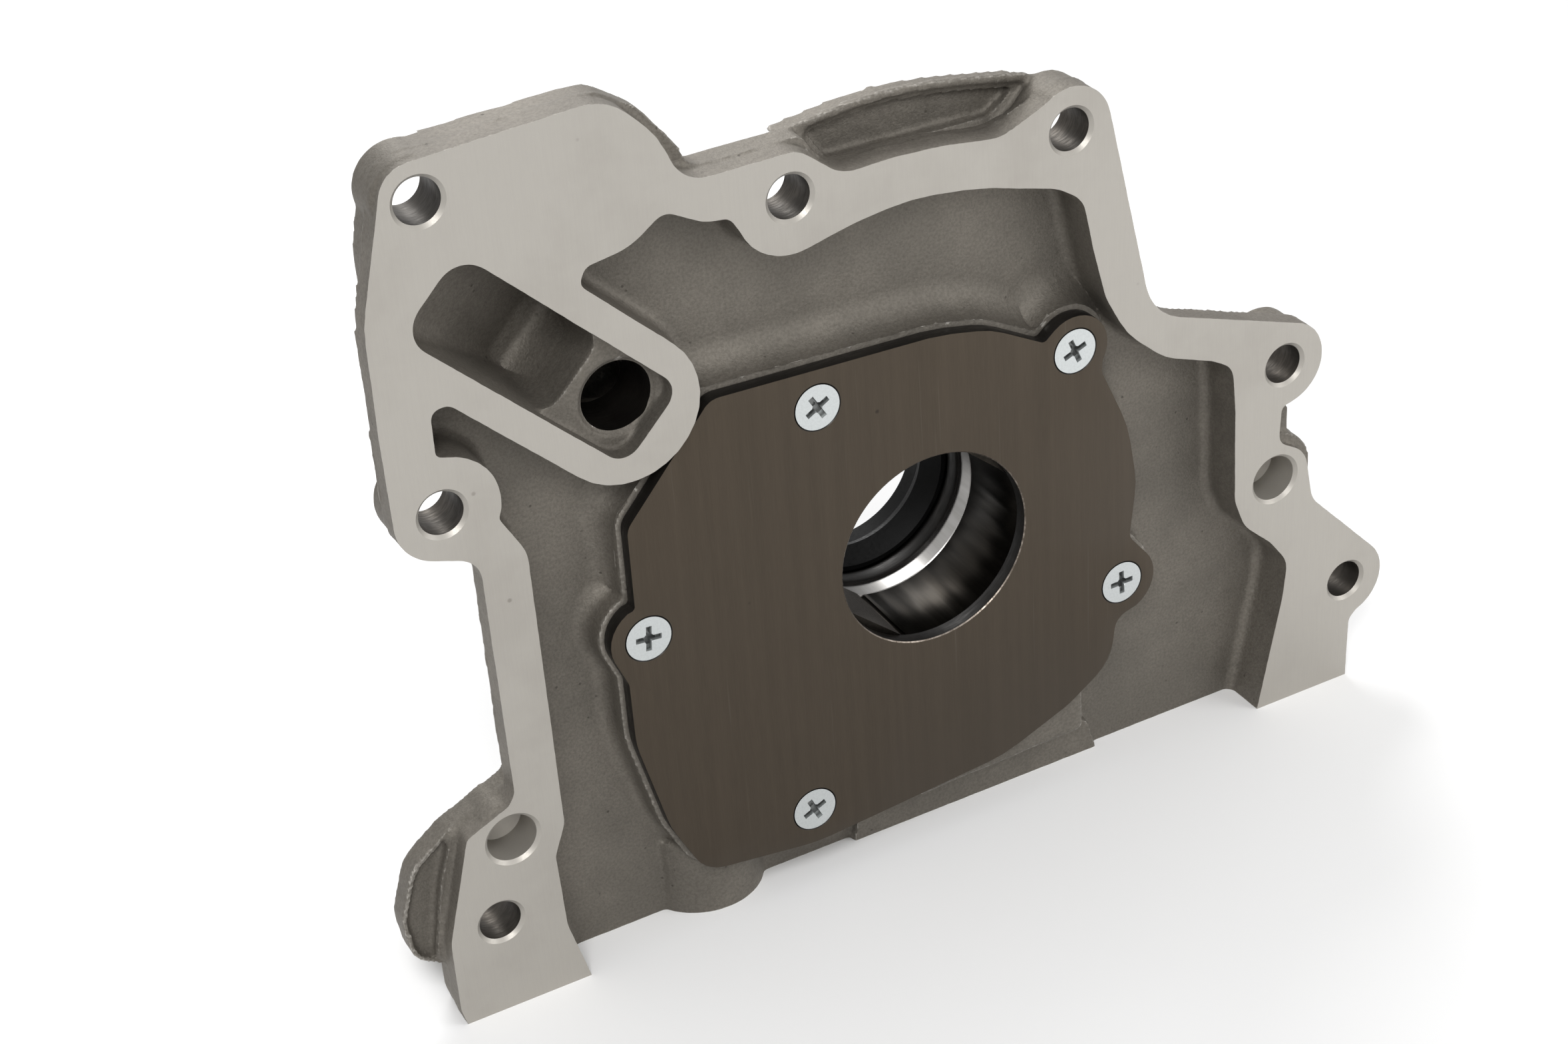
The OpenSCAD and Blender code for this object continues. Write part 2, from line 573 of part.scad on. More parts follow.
module pump_housing() {
    color("#8d8a86")
    difference() {
        union() {
            difference() {
                union() {
                    slab(rounded(face_edge), gasket_y, rail_y);
                    slab(rounded(back_edge), rail_y - eps, flange_back_y);
                }
                recess();
            }
            difference() {
                union() {
                    intersection() {
                        slab(rounded(grown(recess_edge, skin_t)), floor_y, skin_back_y);
                        slab(rounded(face_edge), floor_y - 1, skin_back_y + 1);
                    }
                    seat();
                    slot_body();
                    lug();
                    gutter_wall();
                    bosses();
                    sump_flange();
                    barrels();
                    ribs();
                    bar(rotor_axis, pocket_r + 5, floor_y, disc_back_y, fn = 128);
                    bar([0, 0], seal_boss_d / 2, floor_y, seal_boss_y, fn = 128);
                }
                translate([-cutter / 2, -cutter / 2, -sump_drop - cutter]) cube(cutter);
            }
        }
        slot_pocket();
        gutter();
        machined_cuts();
        oil_cuts();
    }
}

module rotor_cover_plate() {
    countersink_h = (screw_head_d - screw_d) / 2;
    color("#4f4740")
    difference() {
        slab(rounded(plate_edge), 0, plate_t);
        bar([0, 0], plate_hole_d / 2, -1, plate_t + 1, fn = 128);
        for (s = screws) {
            bar(xz(s), screw_d / 2 + 0.2, -1, plate_t + 1);
            bar(xz(s), screw_head_d / 2, -eps, countersink_h, screw_d / 2);
        }
    }
}

// Countersunk screw with a cross recess, head at y = 0
module cover_screw(turn) {
    head_h = (screw_head_d - screw_d) / 2;
    arm = screw_head_d * 0.57;
    arm_w = 1.15;
    depth = 1.7;
    difference() {
        union() {
            bar([0, 0], screw_head_d / 2, 0, head_h, screw_d / 2);
            bar([0, 0], screw_d / 2, head_h - eps, screw_len);
        }
        rotate([0, -turn, 0]) {
            translate([-arm / 2, -eps, -arm_w / 2]) cube([arm, depth * 0.62, arm_w]);
            translate([-arm_w / 2, -eps, -arm / 2]) cube([arm_w, depth * 0.62, arm]);
            translate([-arm * 0.33, -eps, -arm_w / 2]) cube([arm * 0.66, depth, arm_w]);
            translate([-arm_w / 2, -eps, -arm * 0.33]) cube([arm_w, depth, arm * 0.66]);
        }
        bar([0, 0], arm_w * 0.95, -eps, depth + 0.3, 0.3, fn = 32);
    }
}

module cover_screws() {
    color("#c9ccd0")
    for (s = screws) translate([s[0], 0, s[1]]) cover_screw(s[2]);
}

// Point of the inner rotor's tooth outline at the angle f of the lobe centre's path
function tooth_point(f, shrink) =
    let (p = lobe_path_r * [cos(f), sin(f)] + eccentricity * [cos(outer_teeth * f), sin(outer_teeth * f)],
         d = lobe_path_r * [-sin(f), cos(f)]
             + outer_teeth * eccentricity * [-sin(outer_teeth * f), cos(outer_teeth * f)],
         u = unit(d))
    p + (lobe_r + shrink) * [-u[1], u[0]];

// The outline's points crowd together at the roots, where it turns most
module inner_rotor() {
    half = 16;
    even = 0.2;
    relief_r = 0.9;
    half_span = acos(drive_flats / rotor_bore_d);
    color("#b9babb")
    difference() {
        slab([for (k = [1:inner_teeth], i = [-half:half - 1])
                  let (t = i / half)
                  tooth_point(180 / inner_teeth * (2 * k + 1 + even * t + (1 - even) * pow(t, 3)), tooth_gap)],
             rotor_y, rotor_y + rotor_t);
        difference() {
            bar([0, 0], rotor_bore_d / 2, rotor_y - 1, rotor_y + rotor_t + 1, fn = 128);
            for (side = [0, 180])
                rotate([0, -drive_angle - side, 0])
                    translate([drive_flats / 2, rotor_y - 2, -rotor_bore_d / 2])
                        cube([rotor_bore_d / 2, rotor_t + 4, rotor_bore_d]);
        }
        for (a = [half_span, -half_span, 180 + half_span, 180 - half_span])
            bar(rotor_bore_d / 2 * [cos(drive_angle + a), sin(drive_angle + a)], relief_r,
                rotor_y - 1, rotor_y + rotor_t + 1, fn = 32);
    }
}

module outer_rotor() {
    lobe_turn = ecc_angle / outer_teeth;
    color("#a9aaab")
    translate([rotor_axis[0], 0, rotor_axis[1]])
    difference() {
        bar([0, 0], outer_rotor_r, rotor_y, rotor_y + rotor_t, fn = 128);
        difference() {
            bar([0, 0], outer_root_r + tooth_gap, rotor_y - 1, rotor_y + rotor_t + 1, fn = 128);
            for (i = [0:outer_teeth - 1])
                bar(lobe_path_r * [cos(lobe_turn + 360 * i / outer_teeth), sin(lobe_turn + 360 * i / outer_teeth)],
                    lobe_r, rotor_y - 2, rotor_y + rotor_t + 2);
        }
    }
}

// Ring about the crankshaft axis from points [radius, depth]
module ring(points) {
    rotate([-90, 0, 0]) rotate_extrude($fn = 128) polygon(points);
}

module seal_case() {
    flange_r = seal_at(0.565);
    color("#3a3a3c")
    ring([[seal_r, seal_y], [seal_r, seal_back_y], [flange_r, seal_back_y], [flange_r, seal_back_y - case_t],
          [seal_r - case_t, seal_back_y - case_t], [seal_r - case_t, seal_y]]);
}

module seal_lip() {
    hold_y = seal_back_y - case_t;
    color("#141414")
    difference() {
        ring([[seal_at(1), hold_y], [seal_at(1), hold_y - 1.2], [seal_at(0.53), hold_y - 1.6],
              [seal_at(0.4), lip_y + 1.6], [seal_at(0.6), lip_y + 1.2], [seal_at(0.62), seal_y + 0.8],
              [seal_at(0.42), seal_y + 0.5], [lip_r, lip_y], [lip_r, lip_y + 0.8], [seal_at(0.23), hold_y - 1.4],
              [seal_at(0.08), hold_y + 1.1], [seal_at(0.15), hold_y + 1.3], [seal_at(0.4), hold_y]]);
        ring_groove();
    }
}

// Round groove that holds the garter spring
module ring_groove() {
    rotate([-90, 0, 0]) rotate_extrude($fn = 128)
        translate(garter_c) circle(r = garter_wire_r, $fn = 24);
}

module seal_garter_spring() {
    color("#8f9296")
    ring_groove();
}

module relief_piston() {
    bore_r = piston_d / 2 - piston_wall;
    color("#a7a9ab")
    difference() {
        bar_x(piston_face_x - piston_len, piston_face_x, relief_y, relief_z, piston_d / 2);
        bar_x(piston_face_x - piston_len - 1, piston_face_x - piston_crown_t, relief_y, relief_z, bore_r);
    }
}

// Coil swept along X, one ring of points at each step of its turn
module relief_spring() {
    sides = 8;
    per_turn = 14;
    coil_r = (spring_d - spring_wire) / 2;
    wire_r = spring_wire / 2;
    length = spring_start_x - spring_end_x - spring_wire;
    n = spring_turns * per_turn;
    pitch = length / spring_turns;
    lead = atan2(pitch, 2 * PI * coil_r);
    rings = [for (i = [0:n])
        let (a = 360 * i / per_turn, along = spring_end_x + wire_r + length * i / n)
        [for (j = [0:sides - 1])
            let (b = 360 * j / sides, r = coil_r + wire_r * cos(b), w = wire_r * sin(b))
            [along + w * cos(lead), relief_y + r * cos(a) + w * sin(lead) * sin(a),
             relief_z + r * sin(a) - w * sin(lead) * cos(a)]]];
    points = [for (ring = rings) each ring];
    walls = [for (i = [0:n - 1], j = [0:sides - 1])
        let (k = (j + 1) % sides)
        [i * sides + j, i * sides + k, (i + 1) * sides + k, (i + 1) * sides + j]];
    first = [for (j = [sides - 1:-1:0]) j];
    last = [for (j = [0:sides - 1]) n * sides + j];
    color("#7d8084")
    polyhedron(points, concat(walls, [first], [last]), convexity = 10);
}

module relief_plug() {
    head_x = barrel_end_x - plug_washer_t;
    color("#b5b7ba")
    difference() {
        union() {
            bar_x(head_x - plug_head_t, head_x, relief_y, relief_z, plug_flats / sqrt(3), fn = 6);
            bar_x(head_x - eps, barrel_end_x + plug_thread_len, relief_y, relief_z, plug_r);
        }
        bar_x(spring_end_x, barrel_end_x + plug_thread_len + 1, relief_y, relief_z, spring_d / 2 + 0.4);
    }
}

module relief_plug_washer() {
    color("#b87a4b")
    difference() {
        bar_x(barrel_end_x - plug_washer_t, barrel_end_x, relief_y, relief_z, plug_r + plug_washer_w);
        bar_x(barrel_end_x - plug_washer_t - 1, barrel_end_x + 1, relief_y, relief_z, plug_r);
    }
}

pump_housing();
rotor_cover_plate();
cover_screws();
inner_rotor();
outer_rotor();
seal_case();
seal_lip();
seal_garter_spring();
relief_piston();
relief_spring();
relief_plug();
relief_plug_washer();
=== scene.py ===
"""Looks of a crankshaft-driven engine oil pump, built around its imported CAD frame.

The casting is remade from the CAD solid: it gets machining stock, soft cast edges and then the same
machined cuts as the real part. The other pieces keep their CAD shape and get small edge breaks and a finish.
Sizes in the classes are millimetres, and everything handed to Blender is metres.
"""
import json
import logging
import math
from dataclasses import dataclass, field
from enum import Enum
from typing import Optional, Sequence

import bpy
import numpy as np
from mathutils import Matrix, Vector
from mathutils.bvhtree import BVHTree


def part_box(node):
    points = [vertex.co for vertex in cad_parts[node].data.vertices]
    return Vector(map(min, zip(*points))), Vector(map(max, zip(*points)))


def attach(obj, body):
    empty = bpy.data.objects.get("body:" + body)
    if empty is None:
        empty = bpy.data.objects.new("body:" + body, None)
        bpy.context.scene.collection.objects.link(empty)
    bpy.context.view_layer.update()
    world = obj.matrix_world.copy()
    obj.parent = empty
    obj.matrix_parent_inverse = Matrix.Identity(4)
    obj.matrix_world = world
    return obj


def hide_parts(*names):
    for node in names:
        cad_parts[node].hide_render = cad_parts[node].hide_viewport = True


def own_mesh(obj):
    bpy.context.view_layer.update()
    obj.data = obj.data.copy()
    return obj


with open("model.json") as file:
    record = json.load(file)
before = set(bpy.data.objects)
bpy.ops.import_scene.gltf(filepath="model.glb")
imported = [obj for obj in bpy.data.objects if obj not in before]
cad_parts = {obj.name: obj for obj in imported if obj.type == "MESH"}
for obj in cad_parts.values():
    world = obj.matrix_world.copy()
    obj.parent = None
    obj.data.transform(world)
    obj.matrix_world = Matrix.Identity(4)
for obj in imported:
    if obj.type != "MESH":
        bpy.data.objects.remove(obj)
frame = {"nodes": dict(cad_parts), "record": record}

log = logging.getLogger("oil_pump")
MM = 0.001
Color = tuple[float, float, float]
Profile = Sequence[tuple[float, float]]
Socket = bpy.types.NodeSocket
Sockets = bpy.types.bpy_prop_collection
# How near a point lies to a plane that it belongs to, in millimetres
TOUCH = 0.02


class Axis(Enum):
    """Direction that a turned cutter points along."""

    X = "x"
    Y = "y"
    Z = "z"


class Cut(Enum):
    """What a cut surface of the casting looks like, as its material slot."""

    CAST = 0
    MILLED = 1
    DRILLED = 2
    TURNED = 3
    # Near-black wall: painted shade where a cut surface lies in shade.
    PAINTED_SHADE = 4


class PlateCut(Enum):
    """What a face of the cover plate looks like, as its material slot."""

    GROUND = 0
    # Light ground steel of the large hole's chamfer, partly a painted highlight.
    BRIGHT = 1
    # Near-black wall: painted shade where a face of the plate lies in shade.
    PAINTED_SHADE = 2


def srgb(hex_code: str) -> Color:
    """Turns a six-digit colour code into linear values.

    Args:
        hex_code: the colour as it looks on a screen, such as "b5b2ae".

    Returns:
        Linear red, green and blue.
    """
    values = [int(hex_code[i:i + 2], 16) / 255 for i in (0, 2, 4)]
    linear = [v / 12.92 if v <= 0.04045 else ((v + 0.055) / 1.055) ** 2.4 for v in values]
    return linear[0], linear[1], linear[2]


# Node helpers

@dataclass
class Tree:
    """A node tree with short ways to add and join nodes."""

    tree: bpy.types.NodeTree

    def node(self, kind: str, inputs: Optional[dict] = None, **settings: object) -> bpy.types.Node:
        """Adds a node.

        Args:
            kind: the node's Blender type, such as "ShaderNodeTexNoise".
            inputs: what to feed to its inputs, by name or number.
            settings: properties to set on it.

        Returns:
            The new node.
        """
        made = self.tree.nodes.new(kind)
        for name, value in settings.items():
            setattr(made, name, value)
        for name, value in (inputs or {}).items():
            self.feed(made.inputs[name], value)
        return made

    def join(self, source: Socket, target: Socket) -> None:
        """Links one socket to another."""
        self.tree.links.new(source, target)

    def feed(self, socket: Socket, value: object) -> None:
        """Links a socket, or sets its number or colour.

        Args:
            socket: the input to fill.
            value: another node's output, a number, or a colour.
        """
        if isinstance(value, Socket):
            self.join(value, socket)
        elif isinstance(value, tuple) and socket.type == "RGBA":
            socket.default_value = (*value, 1.0)
        else:
            socket.default_value = value

    def math(self, operation: str, a: object, b: object = 0.0, clamp: bool = False) -> Socket:
        """Adds a Math node of that operation. With clamp, its result stays between 0 and 1."""
        return self.node("ShaderNodeMath", {0: a, 1: b}, operation=operation, use_clamp=clamp).outputs[0]

    def noise(self, vector: object, scale: float, detail: float = 2.0, rough: float = 0.5) -> Socket:
        """Adds a Noise texture.

        Args:
            vector: where to look it up.
            scale: lumps per metre.
            detail: octaves.
            rough: weight of the finer octaves.

        Returns:
            The noise value.
        """
        inputs = {"Vector": vector, "Scale": scale, "Detail": detail, "Roughness": rough}
        return self.node("ShaderNodeTexNoise", inputs).outputs["Fac"]

    def ramp(self, value: object, low: object, high: object, out_low: float = 0.0,
             out_high: float = 1.0) -> Socket:
        """Maps a value smoothly from one span to another, and clamps it.

        Args:
            value: the input.
            low: input that gives out_low.
            high: input that gives out_high.
            out_low: result at low.
            out_high: result at high.

        Returns:
            The mapped value.
        """
        inputs = {"Value": value, "From Min": low, "From Max": high, "To Min": out_low, "To Max": out_high}
        return self.node("ShaderNodeMapRange", inputs, interpolation_type="SMOOTHSTEP").outputs["Result"]

    def mix(self, mask: object, a: object, b: object) -> Socket:
        """Blends two colours, with the first one where the mask is 0."""
        return self.node("ShaderNodeMix", {"Factor": mask, 6: a, 7: b}, data_type="RGBA").outputs[2]

    def tint(self, color: object, mask: object, share: float, other: object) -> Socket:
        """Blends a share of another colour in where the mask is 1."""
        return self.mix(self.math("MULTIPLY", mask, share), color, other)

    def stretched(self, vector: object, scale: tuple[float, float, float]) -> Socket:
        """Scales a position along each axis."""
        return self.node("ShaderNodeMapping", {"Vector": vector, "Scale": scale}).outputs["Vector"]

    def specks(self, vector: object, scale: float, size: tuple[float, float], lumps: float,
               share: tuple[float, float]) -> Socket:
        """Scatters small round specks.

        Args:
            vector: where to look them up.
            scale: cells per metre, each with one speck at most.
            size: where a speck starts to fade and where it ends, as shares of a cell.
            lumps: patches with specks per metre.
            share: noise values between which a patch starts.

        Returns:
            The mask of the specks.
        """
        cells = self.node("ShaderNodeTexVoronoi", {"Vector": vector, "Scale": scale}, feature="F1")
        dots = self.ramp(cells.outputs["Distance"], *size, 1.0, 0.0)
        return self.math("MULTIPLY", dots, self.ramp(self.noise(vector, lumps, 1), *share))


class Groups:
    """Shader node groups that several finishes share. Each is built once."""

    def __init__(self) -> None:
        """Lists each group with its method, its inputs and its outputs. None stands for a position."""
        self.kinds = {
            "cast grain": (self.grain, {"Place": None, "Coarseness": 1.0}, ("Height", "Pits", "Blotches")),
            "edge highlight and corner shade": (self.edge_highlight_and_shade, {"Place": None, "Start": 0.52, "End": 0.58}, ("Edges", "Corners")),
            "tool lines": (self.lines, {"Place": None}, ("Fine", "Bands", "Scratches")),
            "stains": (self.stains, {"Place": None}, ("Patches", "Specks"))}

    def use(self, tree: Tree, name: str, inputs: dict[str, object]) -> Sockets:
        """Places a group in a material, and builds it the first time.

        Args:
            tree: the material's tree.
            name: the group's name.
            inputs: what to feed to the group's inputs.

        Returns:
            The group node's outputs.
        """
        draw, sockets, results = self.kinds[name]
        group = bpy.data.node_groups.get(name)
        if not group:
            group = bpy.data.node_groups.new(name, "ShaderNodeTree")
            for label, default in sockets.items():
                kind = "NodeSocketVector" if default is None else "NodeSocketFloat"
                socket = group.interface.new_socket(label, in_out="INPUT", socket_type=kind)
                if default is not None:
                    socket.default_value = default
            for label in results:
                group.interface.new_socket(label, in_out="OUTPUT", socket_type="NodeSocketFloat")
            inner = Tree(group)
            drawn = draw(inner, inner.node("NodeGroupInput").outputs)
            inner.node("NodeGroupOutput", dict(zip(results, drawn)))
        return tree.node("ShaderNodeGroup", inputs, node_tree=group).outputs

    def grain(self, tree: Tree, source: Sockets) -> Sequence[Socket]:
        """Draws the sandy skin of a casting: its height, its pits and its blotches.

        Args:
            tree: the group's tree.
            source: the group's inputs.

        Returns:
            The group's outputs, in their order.
        """
        scaled = {0: source["Place"], "Scale": source["Coarseness"]}
        where = tree.node("ShaderNodeVectorMath", scaled, operation="SCALE").outputs[0]
        sand = tree.noise(where, 2600, 3, 0.6)
        lumps = tree.noise(where, 700, 2, 0.5)
        pits = tree.specks(where, 420, (0.05, 0.16), 140, (0.56, 0.66))
        height = tree.math("ADD", tree.math("MULTIPLY", sand, 0.6), tree.math("MULTIPLY", lumps, 0.5))
        height = tree.math("SUBTRACT", height, tree.math("MULTIPLY", pits, 0.5))
        return height, pits, tree.ramp(tree.noise(where, 38, 4, 0.6), 0.36, 0.66)

    def edge_highlight_and_shade(self, tree: Tree, source: Sockets) -> Sequence[Socket]:
        """Draws a mask of convex edges, for rubbed metal and a painted highlight, and a mask of concave corners,
        for painted shade.

        Args:
            tree: the group's tree.
            source: the group's inputs.

        Returns:
            The group's outputs, in their order.
        """
        point = tree.node("ShaderNodeNewGeometry").outputs["Pointiness"]
        rough = tree.math("MULTIPLY", tree.math("SUBTRACT", tree.noise(source["Place"], 1300, 3), 0.5), 0.1)
        # Convex edges: rubbed metal and a painted highlight.
        edges = tree.ramp(tree.math("ADD", point, rough), source["Start"], source["End"])
        # Concave corners: painted shade.
        return edges, tree.ramp(point, 0.42, 0.49, 1.0, 0.0)

    def lines(self, tree: Tree, source: Sockets) -> Sequence[Socket]:
        """Draws fine straight marks left by grinding or milling, broad bands of them and scratches.

        Args:
            tree: the group's tree.
            source: the group's inputs.

        Returns:
            The group's outputs, in their order.
        """
        fine = tree.noise(tree.stretched(source["Place"], (1.0, 1.0, 0.03)), 5200, 3, 0.6)
        bands = tree.noise(tree.stretched(source["Place"], (1.0, 1.0, 0.02)), 420, 3, 0.55)
        scratches = tree.noise(tree.stretched(source["Place"], (1.0, 1.0, 0.012)), 1500, 1)
        return fine, bands, tree.ramp(scratches, 0.70, 0.76)

    def stains(self, tree: Tree, source: Sockets) -> Sequence[Socket]:
        """Draws soft patches and small specks of oil and handling.

        Args:
            tree: the group's tree.
            source: the group's inputs.

        Returns:
            The group's outputs, in their order.
        """
        patches = tree.ramp(tree.noise(source["Place"], 30, 5, 0.62), 0.45, 0.70)
        return patches, tree.specks(source["Place"], 150, (0.03, 0.09), 60, (0.58, 0.64))


GROUPS = Groups()


@dataclass
class Sheet(Tree):
    """The node tree of one material, with its shader's inputs and the position on the object in metres."""

    material: bpy.types.Material
    shader: Sockets
    place: Socket

    def end(self, color: Optional[Socket], gloss: Socket, height: Socket, mark: float) -> bpy.types.Material:
        """Links the shader.

        Args:
            color: the colour, or None where it is the same all over.
            gloss: the roughness.
            height: what the bump follows.
            mark: height of the bump in metres.

        Returns:
            The material.
        """
        if color is not None:
            self.join(color, self.shader["Base Color"])
        self.join(gloss, self.shader["Roughness"])
        bump = self.node("ShaderNodeBump", {"Distance": mark, "Strength": 1.0, "Height": height})
        self.join(bump.outputs["Normal"], self.shader["Normal"])
        return self.material


@dataclass(frozen=True)
class Finish:
    """A finish with the values that every material here has. The mark is its bump's height in metres."""

    name: str
    color: Color
    metallic: float = 1.0
    roughness: float = 0.4
    mark: float = 0.000006
    specular: float = 0.5

    def tone(self, factor: float) -> Color:
        """Returns the finish's colour, darker or lighter by a factor."""
        return tuple(c * factor for c in self.color)

    def gloss(self, tree: Tree, value: Socket, less: float, more: float) -> Socket:
        """Lets the roughness follow a fine pattern.

        Args:
            tree: the material's tree.
            value: the pattern.
            less: how far the roughness goes down.
            more: how far it goes up.

        Returns:
            The roughness.
        """
        return tree.ramp(value, 0.3, 0.7, self.roughness - less, self.roughness + more)

    def start(self) -> Sheet:
        """Makes the material and its shader.

        Returns:
            The sheet to draw the finish on.
        """
        material = bpy.data.materials.new(self.name)
        material.use_nodes = True
        nodes = material.node_tree.nodes
        place = nodes.new("ShaderNodeTexCoord").outputs["Object"]
        sheet = Sheet(material.node_tree, material, nodes["Principled BSDF"].inputs, place)
        for name, value in (("Base Color", self.color), ("Metallic", self.metallic),
                            ("Roughness", self.roughness), ("Specular IOR Level", self.specular)):
            sheet.feed(sheet.shader[name], value)
        return sheet

    def build(self) -> bpy.types.Material:
        """Builds the material. Each finish has its own way."""
        return self.start().material

    def material(self) -> bpy.types.Material:
        """Returns the finish's material, and builds it the first time."""
        return bpy.data.materials.get(self.name) or self.build()


@dataclass(frozen=True)
class CastSkin(Finish):
    """Aluminium as cast, with a sandy grain, pits, rubbed edges with a painted highlight and painted shade in
    corners.
    """

    mark: float = 0.00015
    # The dark colour serves the sand, the pits and the painted shade in concave corners.
    dirt_and_shade: Color = srgb("3f3a34")
    # The light colour serves rubbed convex edges and is partly a painted highlight.
    rubbed_and_highlight: Color = srgb("b9b5ae")

    def build(self) -> bpy.types.Material:
        """Draws blotches, sand, pits, painted shade in corners and rubbed edges with a painted highlight.

        Returns:
            The material.
        """
        sheet = self.start()
        grain = GROUPS.use(sheet, "cast grain", {"Place": sheet.place, "Coarseness": 1.0})
        edge_highlight_and_shade = GROUPS.use(sheet, "edge highlight and corner shade", {"Place": sheet.place, "Start": 0.525, "End": 0.60})
        color = sheet.mix(grain["Blotches"], self.tone(0.86), self.tone(1.1))
        sand = sheet.ramp(sheet.noise(sheet.place, 1700, 3, 0.7), 0.34, 0.68, 0.0, 0.34)
        color = sheet.mix(sand, color, self.dirt_and_shade)
        color = sheet.tint(color, grain["Pits"], 0.7, self.dirt_and_shade)
        # Painted shade: concave corners are darkened.
        color = sheet.tint(color, edge_highlight_and_shade["Corners"], 0.35, self.dirt_and_shade)
        # Painted highlight, partly rubbed metal: convex edges are lightened.
        color = sheet.tint(color, edge_highlight_and_shade["Edges"], 0.75, self.rubbed_and_highlight)
        gloss = sheet.math("SUBTRACT", self.roughness, sheet.math("MULTIPLY", edge_highlight_and_shade["Edges"], 0.2))
        return sheet.end(color, gloss, grain["Height"], self.mark)


@dataclass(frozen=True)
class MilledFace(Finish):
    """Aluminium cut by a milling cutter or a drill, with soft stains."""

    stain: Color = srgb("96918a")
    speck: Color = srgb("6a655d")

    def build(self) -> bpy.types.Material:
        """Draws stains, bands and specks over fine tool lines.

        Returns:
            The material.
        """
        sheet = self.start()
        stains = GROUPS.use(sheet, "stains", {"Place": sheet.place})
        lines = GROUPS.use(sheet, "tool lines", {"Place": sheet.place})
        color = sheet.tint(self.color, stains["Patches"], 0.35, self.stain)
        color = sheet.tint(color, lines["Bands"], 0.1, self.stain)
        color = sheet.tint(color, stains["Specks"], 0.5, self.speck)
        return sheet.end(color, self.gloss(sheet, lines["Fine"], 0.05, 0.06), lines["Fine"], self.mark)


@dataclass(frozen=True)
class GroundPlate(Finish):
    """Dark steel with upright grinding lines, specks and a few scratches."""

    mark: float = 0.000004
    line: Color = srgb("5a5044")
    scratch: Color = srgb("77706a")
    speck: Color = srgb("241f1b")

    def build(self) -> bpy.types.Material:
        """Draws the grinding lines, the scratches and the specks.

        Returns:
            The material.
        """
        sheet = self.start()
        lines = GROUPS.use(sheet, "tool lines", {"Place": sheet.place})
        stains = GROUPS.use(sheet, "stains", {"Place": sheet.place})
        color = sheet.mix(sheet.ramp(lines["Bands"], 0.3, 0.75, 0.0, 0.15), self.color, self.line)
        color = sheet.mix(sheet.ramp(lines["Fine"], 0.35, 0.75, 0.0, 0.2), color, self.line)
        color = sheet.tint(color, lines["Scratches"], 0.1, self.scratch)
        color = sheet.tint(color, stains["Specks"], 0.7, self.speck)
        return sheet.end(color, self.gloss(sheet, lines["Fine"], 0.03, 0.04), lines["Fine"], self.mark)


@dataclass(frozen=True)
class Plated(Finish):
    """Zinc plating with faint patches, and painted shade below a depth along Y where one is given."""

    # Painted shade: below this depth along Y, in metres, the colour darkens.
    shade_from: Optional[float] = None
    shade_over: float = 0.0008
    recess_shade: Color = srgb("2b2824")

    def build(self) -> bpy.types.Material:
        """Draws the crystals of the plating, and the painted shade in recesses.

        Returns:
            The material.
        """
        sheet = self.start()
        stains = GROUPS.use(sheet, "stains", {"Place": sheet.place})
        fine = sheet.noise(sheet.place, 2400, 3, 0.6)
        color = sheet.mix(sheet.ramp(fine, 0.35, 0.7, 0.0, 0.3), self.color, self.tone(0.7))
        if self.shade_from is not None:
            # Painted shade: darker below the given depth, deep in the recess.
            depth = sheet.node("ShaderNodeSeparateXYZ", {0: sheet.place}).outputs["Y"]
            deep = sheet.ramp(depth, self.shade_from, self.shade_from + self.shade_over, 0.0, 0.7)
            color = sheet.mix(deep, color, self.recess_shade)
        gloss = sheet.ramp(stains["Patches"], 0.0, 1.0, self.roughness, self.roughness + 0.1)
        return sheet.end(color, gloss, fine, self.mark)


@dataclass(frozen=True)
class Polished(Finish):
    """Worn sliding steel with fine marks and a dark film."""

    mark: float = 0.000004
    film: Color = srgb("3a3532")
    spread: float = 0.12

    def build(self) -> bpy.types.Material:
        """Draws the film as streaks along Y.

        Returns:
            The material.
        """
        sheet = self.start()
        streaks = sheet.noise(sheet.stretched(sheet.place, (1.0, 0.05, 1.0)), 900, 3, 0.6)
        color = sheet.mix(sheet.ramp(streaks, 0.35, 0.65), self.color, self.film)
        return sheet.end(color, self.gloss(sheet, streaks, 0.0, self.spread), streaks, self.mark)


@dataclass(frozen=True)
class Drilled(Finish):
    """Wall of a drilled hole, with rings round it and an oily film in them."""

    mark: float = 0.00001

    def build(self) -> bpy.types.Material:
        """Draws the rings and the clouds of oil.

        Returns:
            The material.
        """
        sheet = self.start()
        rings = sheet.noise(sheet.stretched(sheet.place, (0.15, 1.0, 0.15)), 2600, 3, 0.6)
        cloud = sheet.noise(sheet.place, 160, 3)
        darker = self.tone(0.5)
        color = sheet.mix(sheet.ramp(cloud, 0.35, 0.65), self.color, darker)
        color = sheet.mix(sheet.ramp(rings, 0.35, 0.7, 0.0, 0.5), color, darker)
        return sheet.end(color, self.gloss(sheet, rings, 0.06, 0.1), rings, self.mark)


